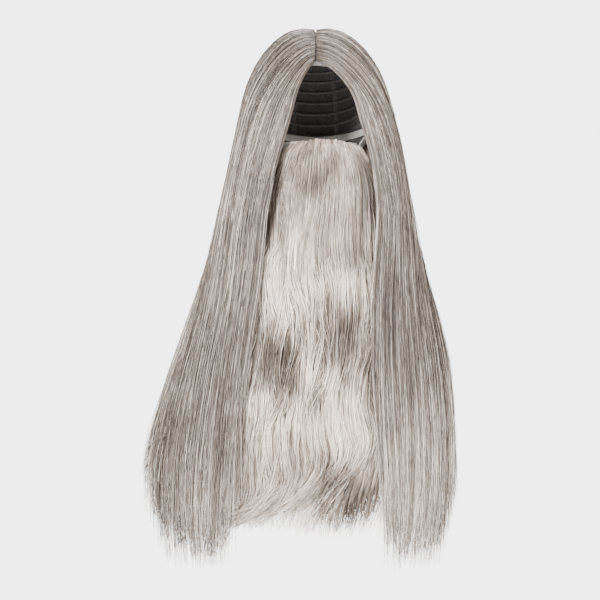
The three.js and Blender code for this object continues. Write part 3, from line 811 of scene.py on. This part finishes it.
# %% Beard locks and fibres
def beard_locks(name, count, seed, rings=33, root=0.004, half_wide=5.2 * mm, half_thick=3.6 * mm):
    rng = np.random.default_rng(seed)
    lines, depth = layered_lines(count, [0.18, 0.45, 0.7], rng)
    share = np.linspace(0, 1, rings)
    end = beard_end(lines, depth) - rng.uniform(0.03, 0.06, lines.shape)
    v = mix(root, end, share)
    path, out = beard_path(lines + 0 * v, v, depth, rng.uniform(0.9, 1.1, lines.shape))
    shape = taper(share, 0.6, 0.12, narrows=0.85) + 0 * v
    thick = half_thick * shape * at_level(beard_rows, "thick", v)
    # Painted shade: the locks are darker than the fibres, as the shadow deep in the beard, with the beard's painted
    # spots.
    tone = np.clip(rng.normal(0.42, 0.06, lines.shape), 0, 1) + 0.6 * patches(path, beard_light_and_shade)
    tone = tone + 0.3 * ramp(share, 0.88, 1)
    lane = rng.uniform(0, lane_spread, len(lines))
    return lay(name, model_tube(8, rings), path, out, half_wide * shape, thick, tone, lane)


def beard_fibres(name, count, locks, seed, rings=21):
    rng = np.random.default_rng(seed)
    size = (count, 1)
    u0, line, near = gathered(count, locks, rng)
    lock_tone = rng.normal(0, 0.06, locks)
    share = np.linspace(0, 1, rings)
    start = either(0.7, (0.004, 0.024), (0.02, 0.14), size, rng)
    inner = np.where(u0 > 0.55, 0.35, 0.22)
    layer = np.where(rng.random(size) > inner, rng.uniform(0.75, 1.04, size), rng.uniform(0.05, 0.7, size))
    short = rng.exponential(np.where(layer > 0.6, 0.03, 0.016), size)
    v = mix(start, np.minimum(beard_end(u0, layer) - short + 0.01, 1.0), share)
    gather = rng.uniform(0.1, 0.7, size) * v**2
    wander = rng.normal(0, 0.7 / locks, size) * np.sin(v * math.pi * 1.3)
    path, out = beard_path(mix(u0, line, gather) + wander, v, layer, rng.normal(1, 0.2, size))

    turn = rng.normal(0, 4.4, locks)[near] * mm * ramp(v, 0.06, 0.36)
    turn_phase = rng.uniform(0, 6.3, locks)[near] + rng.normal(0, 0.4, size)
    path[..., 0] += turn * np.sin(turn_phase + 2 * math.pi * v * rng.uniform(2, 3.4, locks)[near])
    path[..., 1] -= np.abs(turn) * 0.6 * np.sin(turn_phase * 2 + 2 * math.pi * v * 2.2)
    stray = either(0.09, (2, 9), (0, 1.6), size, rng) * mm
    phase = rng.uniform(0, 6.3, (count, 2))
    path[..., 0] += stray * np.sin(phase[:, :1] + 9 * v) * v
    path[..., 1] -= 0.4 * stray * np.abs(np.sin(phase[:, 1:] + 7 * v)) * v

    wide = rng.uniform(0.26, 0.5, size) * mm * taper(share, 0.7, 0.45)
    tone = mixed_tone(beard_kinds, size, rng) + lock_tone[near]
    tone = tone + patches(beside(path, 8 * mm, rng), beard_light_and_shade)
    lane = rng.uniform(0, lane_spread, count)
    return lay(name, model_tube(3, rings), path, out, wide, wide * 0.8, tone, lane)


beard_pieces = [
    beard_locks("beard_locks", count=26, seed=31),
    beard_fibres("beard_fibres", count=1500, locks=44, seed=32),
]
tell(*beard_pieces)

# %% [markdown]
# Low on the right the outer hair sweeps away and shows short hair that hangs straight, painted dark as the shade
# under the beard. A few light wisps lie over it, and its tips are lighter than the rest, so that they fade out
# instead of ending in a dark fringe.

# %% The beard's underside
def beard_underside(name, count, seed, rings=10):
    rng = np.random.default_rng(seed)
    size = (count, 1)
    wisp = rng.random(size) < 0.14
    u = np.where(wisp, rng.uniform(0.62, 1.0, size), rng.uniform(0.42, 1.1, size))
    layer = np.where(wisp, rng.uniform(0.62, 0.74, size), rng.uniform(0.1, 0.55, size))
    start = rng.uniform(0.5, 0.72, size)
    end = np.clip(rng.normal(0.955, 0.022, size), 0.9, 0.995)
    share = np.linspace(0, 1, rings)
    v = mix(start, end, share)
    path, out = beard_path(u + 0 * v, v, layer, rng.uniform(0.5, 1.2, size))
    path[..., 0] += rng.normal(0, 3, size) * mm * np.sin(rng.uniform(0, 6, size) + 12 * v)
    wide = rng.uniform(0.3, 0.55, size) * mm * taper(share, 0.3, 0.5)
    # Painted shade: the short hair is darker than the beard's outside, and the light wisps take less of the painted
    # spots.
    tone = np.where(wisp, 0.95, rng.normal(0.62, 0.1, size)) + 0.34 * ramp(share, 0.72, 1)
    tone = tone + np.where(wisp, 0.15, 1) * patches(beside(path, 6 * mm, rng), beard_light_and_shade)
    lane = rng.uniform(0, lane_spread, count)
    return lay(name, model_tube(3, rings), path, out, wide, wide * 0.8, tone, lane)


beard_pieces.append(beard_underside("beard_underside", count=600, seed=35))
tell(beard_pieces[-1])

# %% [markdown]
# The moustache falls from under the nose over the beard's root. Its fibres fan out a little, rise to the outside of
# their wall near the root, and settle on the beard with their tips. The same function lays its few flat locks,
# which are wider and deeper and painted darker as the shade under the fibres, and its many fibres. Near the root the
# middle, where the moustache parts, is painted a little darker as shade.

# %% Moustache
def moustache_hair(name, count, locks, seed, rings, sides, layers, half_wide, base):
    rng = np.random.default_rng(seed)
    size = (count, 1)
    u0, line, _ = gathered(count, locks, rng)
    share = np.linspace(0, 1, rings)
    s0 = 2 * u0 - 1
    start = 0.045 * s0**2 - 0.02 + np.where(rng.random(size) < 0.6, 0.03, 0.22) * rng.random(size)
    end = np.clip(rng.normal(0.92, 0.17, size), 0.5, 1.25)
    v = mix(start, end, share)
    s = s0 * (0.9 + 0.16 * ramp(v, 0, 0.45)) + 0.06 * np.sin(5 * v + 3 * s0) * v
    gather = rng.uniform(0.1, 0.5, size) * v**2
    u = mix((s + 1) / 2, line, gather) + rng.normal(0, 0.05, size) * v
    settle = ramp(share, 0.45, 1) ** 1.5
    rise = np.maximum(0.2, ramp(share, 0, 0.12))
    depth = rng.uniform(*layers, size) * rise * (1 - settle) - 0.12 * settle
    path, out = moustache_wall(np.clip(u, -0.03, 1.03), v, depth)
    stray = either(0.08, (1, 5), (0.2, 1.2), size, rng) * mm
    path[..., 0] += stray * np.sin(rng.uniform(0, 6.3, size) + 6 * v) * v
    wide = rng.uniform(0.7, 1.3, size) * half_wide * taper(share, 0.7, 0.2)
    own = rng.normal(base, 0.1, size)
    # Painted shade: a little darker in the parting at the middle, near the root.
    centre = -0.04 * np.exp(-((s / 0.2) ** 2)) * np.clip(1.2 - 2 * v, 0, 1)
    tone = own + centre + patches(beside(path, 5 * mm, rng), beard_light_and_shade)
    lane = rng.uniform(0, lane_spread, count)
    return lay(name, model_tube(sides, rings), path, out, wide, wide * 0.7, tone, lane)


beard_pieces += [
    # Painted shade: the locks' base tone is darker than the fibres', as the shade under them.
    moustache_hair(
        "moustache_locks", 70, 18, 33, rings=15, sides=8, layers=(0.2, 0.7), half_wide=3.2 * mm, base=0.5
    ),
    moustache_hair(
        "moustache_fibres", 1150, 26, 34, rings=13, sides=3, layers=(0.7, 1.03), half_wide=0.36 * mm, base=0.66
    ),
]
tell(*beard_pieces[-2:])

# %% [markdown]
# Under the hair lies the cap: a stretch net with the hair sewn on in rows, called wefts, and a binding round its rim.
# A sphere wouldn't do, because the rim slants from the forehead to the nape. A flat grid is modelled instead, wrapped
# round the head by the rule that the CAD cap follows, welded where it meets itself, and given its wall.

# %% Model the cap
cap_front_drop, cap_nape_drop, cap_ear_tab = 50 * mm, 158 * mm, 8 * mm


def on_cap(heading, share, wall):
    drop = mix(cap_front_drop, cap_nape_drop, (1 - np.cos(heading)) / 2) + cap_ear_tab * np.sin(heading) ** 2
    rim_angle = np.arccos(np.maximum(0, 1 - drop / crown_height))
    fall = (rim_angle * crown_height + np.maximum(0, drop - crown_height)) * share
    polar = np.minimum(fall / crown_height, math.pi / 2)
    x = (head[0] + wall) * np.sin(polar) * np.sin(heading)
    y = -(head[1] + wall) * np.sin(polar) * np.cos(heading)
    z = (crown_height + wall) * np.cos(polar) - crown_height - (fall - polar * crown_height)
    return np.stack([x, y, z], -1)


def grid_piece(name, columns, rows, shape):
    bpy.ops.object.select_all(action="DESELECT")
    bpy.ops.mesh.primitive_grid_add(x_subdivisions=columns, y_subdivisions=rows, size=1)
    piece = bpy.context.object
    piece.name = piece.data.name = name
    flat = np.zeros(len(piece.data.vertices) * 3)
    piece.data.vertices.foreach_get("co", flat)
    flat = flat.reshape(-1, 3) + 0.5
    piece.data.vertices.foreach_set("co", shape(flat[:, 0], flat[:, 1]).ravel())
    bpy.ops.object.mode_set(mode="EDIT")
    bpy.ops.mesh.select_all(action="SELECT")
    bpy.ops.mesh.remove_doubles(threshold=0.02 * mm)
    bpy.ops.mesh.normals_make_consistent(inside=False)
    bpy.ops.object.mode_set(mode="OBJECT")
    return piece


def finish_modifier(piece, kind, **settings):
    modifier = piece.modifiers.new(kind.lower(), kind)
    for key, value in settings.items():
        setattr(modifier, key, value)
    bpy.ops.object.select_all(action="DESELECT")
    piece.select_set(True)
    bpy.context.view_layer.objects.active = piece
    bpy.ops.object.modifier_apply(modifier=modifier.name)


cap = grid_piece("cap_net", 112, 30, lambda u, v: on_cap(2 * math.pi * u, v, cap_wall))
finish_modifier(cap, "SOLIDIFY", thickness=cap_wall * 0.8, offset=-1)
cap.data.shade_smooth()
tell(cap)

# %% [markdown]
# The wefts, the ribbons and the binding are flat tapes, so the tube with eight sides is laid along them too. Its
# section is squared a little first, because a sewn tape isn't round.

# %% Wefts, ribbons and binding
def squared(tube, power):
    for key in ("across", "outward"):
        tube[key] = np.sign(tube[key]) * np.abs(tube[key]) ** power
    return tube


def lay_even(name, tube, path, out, half_wide, half_thick, lane_step=0.1):
    """Tubes that keep one width, thickness and tone."""
    ones = np.ones(path.shape[:2])
    lanes = np.arange(len(path)) * lane_step
    return lay(name, tube, path, out, half_wide * ones, half_thick * ones, 0.5 * ones, lanes)


def tapes(name, headings, shares, wall, half_wide, half_thick):
    headings, shares = np.broadcast_arrays(headings, shares)
    path = on_cap(headings, shares, wall)
    out = unit(on_cap(headings, shares, wall + 5 * mm) - path)
    tube = squared(model_tube(8, path.shape[1]), 0.6)
    return lay_even(name, tube, path, out, half_wide, half_thick)


weft_shares = np.linspace(0.2, 0.93, 12)[:, None]
weft_sweep = mix(0.16, 2 * math.pi - 0.16, np.linspace(0, 1, 97)[None, :])
wefts = tapes("cap_wefts", weft_sweep, weft_shares, wall=-0.1 * mm, half_wide=1.9 * mm, half_thick=0.55 * mm)
ribbon_headings = np.radians([0, 62, 118, 158, 202, 242, 298])[:, None]
ribbon_fall = mix(0.06, 0.99, np.linspace(0, 1, 49)[None, :])
ribbons = tapes("cap_ribbons", ribbon_headings, ribbon_fall, wall=0.1 * mm, half_wide=3.2 * mm, half_thick=0.4 * mm)
rim_sweep = 2 * math.pi * np.linspace(0, 1, 161)[None, :]
binding = tapes("cap_binding", rim_sweep, 0.995, wall=1.1 * mm, half_wide=3.4 * mm, half_thick=1.3 * mm)
tell(wefts, ribbons, binding)

# %% [markdown]
# The beard is sewn to a piece of felt that is cut to go round the chin. It is a grid again, laid by the same function
# that carries the beard, with its wall from Solidify and its cut edges softened by Bevel. Points along its bent
# middle, and the steps across and down between them, are worked out here too.

# %% Model the backing
backing_wall, backing_half, backing_drop = 2 * mm, 66 * mm, 244 * mm
backing_rows = table("down half", (0, 0.8), (0.14, 0.94), (0.4, 1), (0.65, 0.97), (0.85, 0.8), (1, 0.56))


def on_face(s, down, wall):
    x = backing_half * at_level(backing_rows, "half", down) * s
    z = -mix(lip_drop, backing_drop, down)
    return np.stack([x, front_at(x, z) - wall, z], -1)


backing = grid_piece("backing_felt", 44, 30, lambda u, v: on_face(2 * u - 1, 1 - v, backing_wall))
finish_modifier(backing, "SOLIDIFY", thickness=backing_wall, offset=-1)
finish_modifier(
    backing, "BEVEL", width=0.5 * mm, segments=2, limit_method="ANGLE", angle_limit=math.radians(60)
)
backing.data.shade_smooth()
felt_s = np.linspace(-1, 1, 81)[None, :]
felt_down = np.linspace(0, 1, 81)[:, None] + 0 * felt_s
middle = on_face(felt_s, felt_down, backing_wall / 2)
across, down = np.diff(middle, axis=1), np.diff(middle, axis=0)

# %% [markdown]
# The elastic goes from one corner of the felt over the ears and round the head to the other. It is one tape laid
# along a smooth curve through the same points as in the CAD model, and its section has the fine ridges of ribbed
# elastic.

# %% Model the elastic
strap_height, strap_wall, strap_gap, strap_inset = 9 * mm, 1.2 * mm, 1.6 * mm, 12 * mm
strap_ear_drop, strap_nape_drop = 122 * mm, 132 * mm
strap_rings, rib_height = 141, 0.16


def through(knots, steps):
    knots = np.vstack([2 * knots[0] - knots[1], knots, 2 * knots[-1] - knots[-2]])
    gaps = np.linalg.norm(np.diff(knots, axis=0), axis=1) ** 0.5
    t = np.linspace(0, len(knots) - 3, steps + 1)
    i = np.minimum(t.astype(int), len(knots) - 4)
    share = (t - i)[:, None]
    a, b, c, d = (knots[i + k] for k in range(4))
    g0, g1, g2 = (gaps[i + k][:, None] for k in range(3))
    leave = g1 * ((b - a) / g0 - (c - a) / (g0 + g1) + (c - b) / g1)
    arrive = g1 * ((c - b) / g1 - (d - b) / (g1 + g2) + (d - c) / g2)
    cubic = (2 * b - 2 * c + leave + arrive) * share**3 + (3 * c - 3 * b - 2 * leave - arrive) * share**2
    return cubic + leave * share + b


def on_head(degrees, drop):
    heading = math.radians(degrees)
    half, deep = head[0] - strap_gap - strap_wall, head[1] - strap_gap - strap_wall
    return np.array([half * math.sin(heading), -deep * math.cos(heading), -drop])


end_x, end_drop = backing_half - strap_inset, lip_drop + strap_height
strap_end = np.array([end_x, float(front_at(end_x, -end_drop)) + 2 * strap_gap + strap_wall, -end_drop])
right_half = [
    strap_end,
    on_head(66, mix(end_drop, strap_ear_drop, 0.6)),
    on_head(90, strap_ear_drop),
    on_head(118, mix(strap_ear_drop, strap_nape_drop, 0.25)),
    on_head(148, mix(strap_ear_drop, strap_nape_drop, 0.7)),
]
mirrored = [knot * (-1, 1, 1) for knot in reversed(right_half)]
strap_path = through(np.array([*right_half, on_head(180, strap_nape_drop), *mirrored]), strap_rings - 1)
strap_along = unit(np.gradient(strap_path, axis=0))
strap_out = unit(np.stack([strap_along[:, 1], -strap_along[:, 0], 0 * strap_along[:, 0]], -1))
strap_out *= np.sign((strap_out * strap_path).sum(-1))[:, None]
ribbed = squared(model_tube(40, strap_rings), 0.5)
ribbed["outward"] = ribbed["outward"] * (1 + rib_height * np.cos(ribbed["across"] * 6 * math.pi))
strap_middle = strap_path + strap_out * strap_wall / 2
strap = lay_even("elastic_strap", ribbed, strap_middle[None], strap_out[None], strap_height / 2, strap_wall / 2)
strap_length = float(np.linalg.norm(np.diff(strap_path, axis=0), axis=1).sum())
tell(strap)
print("the elastic is", round(strap_length, 3), "m long")

# %% [markdown]
# Blanket stitches hold the felt's border, over a thread that runs along it, and nine short stitches hold each end of
# the elastic on the felt. Each stitch is a thin round tube, laid like a fibre.

# %% Stitches
def thread(name, path, outward, half=0.3 * mm):
    out = np.broadcast_to(outward, path.shape)
    return lay_even(name, model_tube(6, path.shape[1]), path, out, half, half, lane_step=0.01)


def border(t):
    """A place on the felt's border, for t from 0 to 1 down one side, along the foot and up the other."""
    s = np.clip(3 * t - 1.5, -0.5, 0.5) * 2
    down = np.where(t < 1 / 3, 3 * t, np.where(t > 2 / 3, 3 - 3 * t, 1))
    return s, down


stitch_count = 84
s, down = border(np.linspace(0.01, 0.99, stitch_count))
edge = np.stack([s * 0.985, down * 0.985], -1)
inner = np.stack([s * 0.94, down * 0.955], -1)
stitch = np.linspace(0, 1, 7)
way = edge[:, None] + (inner - edge)[:, None] * stitch[None, :, None]
lifted = -0.25 * mm - 0.35 * mm * np.sin(math.pi * stitch)[None, :]
blanket_path = on_face(way[..., 0], way[..., 1], lifted + 0 * way[..., 0])
blanket = thread("backing_stitches", blanket_path, (0.0, 1.0, 0.0))

rim_s, rim_down = border(np.linspace(0.005, 0.995, stitch_count + 1))
rim_path = on_face(rim_s * 0.99, rim_down * 0.99, -0.3 * mm + 0 * rim_s)[None]
rim_thread = thread("backing_edge_thread", rim_path, (0.0, 1.0, 0.0))

tacks = []
top = strap_end[1] + strap_wall + 0.3 * mm
for side in (1, -1):
    for column in range(3):
        for row in range(3):
            x = side * (end_x - (1.5 + 2.6 * column) * mm)
            z = -end_drop + (row - 1) * 2.8 * mm
            below = float(front_at(x, z)) - 0.5 * mm
            bent = (x + 1.1 * mm * side, top + 0.4 * mm, z + 0.9 * mm)
            tacks.append([(x, below, z), (x, top, z), bent, (x + 2.2 * mm * side, top, z + 1.8 * mm)])
tack = thread("elastic_stitches", np.array(tacks), (0.0, 0.3, 1.0))
print("stitches:", stitch_count, "round the felt,", len(tacks), "on the elastic")

# %% [markdown]
# The fibres are synthetic: silky, slightly glossy, and mixed from light and dark grey. Each lock stands for many
# more fibres than it has faces, so a shader node group adds to a place's tone: streaks that run far down the hair,
# a speckle of short glints, and a broad mottle. Every hair material uses it with its own amounts and colours.

# %% Streaks as a node group
def node_math(tree, operation, a, b, clamp=False):
    node = new_node(tree, "Math", operation=operation, use_clamp=clamp)
    for socket, value in zip(node.inputs, (a, b)):
        if isinstance(value, float):
            socket.default_value = value
        else:
            tree.links.new(value, socket)
    return node.outputs[0]


def stretched_noise(tree, place, stretch, detail):
    run = new_node(tree, "VectorMath", operation="MULTIPLY")
    run.inputs[1].default_value = stretch
    noise = new_node(tree, "TexNoise", {"Scale": 1.0, "Detail": detail})
    tree.links.new(place, run.inputs[0])
    tree.links.new(run.outputs[0], noise.inputs["Vector"])
    return noise.outputs[0]


def fibre_streaks():
    group = bpy.data.node_groups.new("fibre streaks", "ShaderNodeTree")
    face = group.interface
    face.new_socket("Place", in_out="INPUT", socket_type="NodeSocketVector")
    for label in ("Tone", "Streak", "Speckle", "Mottle"):
        face.new_socket(label, in_out="INPUT", socket_type="NodeSocketFloat")
    for label in ("Tone", "Relief"):
        face.new_socket(label, in_out="OUTPUT", socket_type="NodeSocketFloat")
    start, end = group.nodes.new("NodeGroupInput"), group.nodes.new("NodeGroupOutput")
    place = start.outputs["Place"]
    where = new_node(group, "TexCoord").outputs["Object"]
    noises = {
        "Streak": stretched_noise(group, place, (1100, 1100, 14), 3),
        "Speckle": stretched_noise(group, place, (900, 900, 110), 2),
        "Mottle": stretched_noise(group, where, (42, 42, 20), 2),
    }
    total = start.outputs["Tone"]
    for label, noise in noises.items():
        swing = node_math(group, "SUBTRACT", noise, 0.5)
        total = node_math(group, "ADD", total, node_math(group, "MULTIPLY", swing, start.outputs[label]))
    relief = node_math(group, "ADD", noises["Streak"], noises["Speckle"])
    group.links.new(node_math(group, "ADD", total, 0.0, clamp=True), end.inputs["Tone"])
    group.links.new(relief, end.inputs["Relief"])
    return group


streaks = fibre_streaks()
print("node group:", streaks.name, "with", len(streaks.nodes), "nodes")

# %% [markdown]
# A hair material turns the group's tone into a colour through a ramp from nearly black to a pale warm grey. The
# relief gives a fine bump, and varies the gloss from fibre to fibre.

# %% Hair materials
def color_stops(tree, stops):
    """A colour ramp with these stops of (position, colour)."""
    node = new_node(tree, "ValToRGB")
    elements = node.color_ramp.elements
    elements.remove(elements[1])
    for i, (position, color) in enumerate(stops):
        stop = elements[0] if i == 0 else elements.new(position)
        stop.position = position
        stop.color = (*color, 1)
    return node


def hair_material(name, stops, streak, speckle, mottle, roughness=0.46):
    material, tree, surface = new_material(name, {"Specular IOR Level": 0.4})
    place = new_node(tree, "Attribute", attribute_name="fibre")
    tone = new_node(tree, "Attribute", attribute_name="tone")
    amounts = {"Streak": streak, "Speckle": speckle, "Mottle": mottle}
    group = new_node(tree, "Group", amounts, node_tree=streaks)
    colors = color_stops(tree, stops)
    gloss_range = {"From Max": 2.0, "To Min": roughness - 0.1, "To Max": roughness + 0.1}
    gloss = new_node(tree, "MapRange", gloss_range)
    bump = new_node(tree, "Bump", {"Strength": 0.5, "Distance": 0.6 * mm})
    for source, target in (
        (place.outputs["Vector"], group.inputs["Place"]),
        (tone.outputs["Fac"], group.inputs["Tone"]),
        (group.outputs["Tone"], colors.inputs["Fac"]),
        (colors.outputs["Color"], surface["Base Color"]),
        (group.outputs["Relief"], gloss.inputs["Value"]),
        (gloss.outputs[0], surface["Roughness"]),
        (group.outputs["Relief"], bump.inputs["Height"]),
        (bump.outputs[0], surface["Normal"]),
    ):
        tree.links.new(source, target)
    return material


wig_colors = [
    (0, (0.026, 0.018, 0.013)), (0.3, (0.098, 0.076, 0.06)), (0.6, (0.31, 0.265, 0.226)), (1, (0.86, 0.79, 0.72))
]
beard_colors = [
    (0, (0.045, 0.031, 0.022)), (0.3, (0.15, 0.115, 0.088)), (0.6, (0.42, 0.355, 0.298)), (1, (1.0, 0.91, 0.81))
]
wig_hair = hair_material("wig_hair", wig_colors, streak=0.4, speckle=0.8, mottle=0.25)
beard_hair = hair_material("beard_hair", beard_colors, streak=0.35, speckle=0.7, mottle=0.8)
print("hair materials:", wig_hair.name, beard_hair.name)

# %% [markdown]
# Every piece says what it belongs to: it rides on the set's one body, it replaces the CAD solid that it was grown in,
# and it gets its material.

# %% Dress the hair
stands_for = {
    "left": ("side_hair_left", wig_hair, "wig_hair"),
    "right": ("side_hair_right", wig_hair, "wig_hair"),
    "back": ("back_hair", wig_hair, "wig_hair"),
    "beard": ("beard", beard_hair, "beard_hair"),
    "moustache": ("moustache", beard_hair, "beard_hair"),
}
for piece in wig_pieces + beard_pieces:
    node, material, slot = stands_for[piece.name.split("_")[0]]
    piece.data.materials.append(material)
    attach(piece, "root")
    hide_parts(node)
print("dressed", len(wig_pieces + beard_pieces), "pieces of hair")

# %% [markdown]
# The net, the felt and the elastic are plain knitted, pressed and ribbed fabrics. Their surface is fine, so it comes
# from patterns in Object coordinates, which are real metres here, through a small relief and a change of colour.

# %% Fabric materials
def fabric_material(name, dark, light, scale, relief, roughness, stretch=(1, 1, 1), net=False):
    material, tree, surface = new_material(
        name, {"Specular IOR Level": 0.25, "Sheen Weight": 0.25, "Roughness": roughness}
    )
    where = new_node(tree, "TexCoord")
    sized = new_node(tree, "Mapping", {"Scale": stretch})
    if net:
        pattern = new_node(tree, "TexVoronoi", {"Scale": scale}, feature="DISTANCE_TO_EDGE")
        value, colors = pattern.outputs["Distance"], color_stops(tree, [(0.06, light), (0.22, dark)])
    else:
        pattern = new_node(tree, "TexNoise", {"Scale": scale, "Detail": 6})
        value, colors = pattern.outputs[0], color_stops(tree, [(0.3, light), (0.7, dark)])
    bump = new_node(tree, "Bump", {"Strength": 0.6, "Distance": relief}, invert=net)
    for source, target in (
        (where.outputs["Object"], sized.inputs["Vector"]),
        (sized.outputs["Vector"], pattern.inputs["Vector"]),
        (value, colors.inputs["Fac"]),
        (colors.outputs["Color"], surface["Base Color"]),
        (value, bump.inputs["Height"]),
        (bump.outputs[0], surface["Normal"]),
    ):
        tree.links.new(source, target)
    return material


net = fabric_material(
    "net", (0.02, 0.018, 0.017), (0.08, 0.075, 0.07), scale=700, relief=0.3 * mm, roughness=0.85, net=True
)
weft_tape = fabric_material(
    "weft_tape", (0.05, 0.047, 0.044), (0.11, 0.1, 0.095), scale=900, relief=0.2 * mm, roughness=0.8
)
felt = fabric_material(
    "felt", (0.26, 0.235, 0.205), (0.38, 0.35, 0.31), scale=500, relief=0.3 * mm, roughness=0.95
)
ribbed_elastic = fabric_material(
    "ribbed_elastic", (0.4, 0.38, 0.35), (0.58, 0.56, 0.52), 300, 0.2 * mm, 0.8, stretch=(6, 6, 1)
)
cotton = fabric_material(
    "cotton_thread", (0.6, 0.57, 0.52), (0.75, 0.72, 0.68), scale=1500, relief=0.1 * mm, roughness=0.7
)
print("fabric materials:", *(fabric.name for fabric in (net, weft_tape, felt, ribbed_elastic, cotton)))

# %% [markdown]
# The fabric pieces are dressed in the same way.

# %% Dress the fabric
for piece, material, slot, nodes_stood_for in (
    (cap, net, "cap_net", ["wig_cap"]),
    (wefts, weft_tape, "cap_net", ["wig_cap"]),
    (ribbons, weft_tape, "cap_net", ["wig_cap"]),
    (binding, weft_tape, "cap_net", ["wig_cap"]),
    (backing, felt, "backing_felt", ["beard_backing"]),
    (blanket, cotton, "backing_felt", ["beard_backing"]),
    (rim_thread, cotton, "backing_felt", ["beard_backing"]),
    (strap, ribbed_elastic, "elastic", ["beard_strap"]),
    (tack, cotton, "elastic", ["beard_strap"]),
):
    piece.data.materials.clear()
    piece.data.materials.append(material)
    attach(piece, "root")
    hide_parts(*nodes_stood_for)

print("dressed the cap, the felt, the elastic and their stitches")
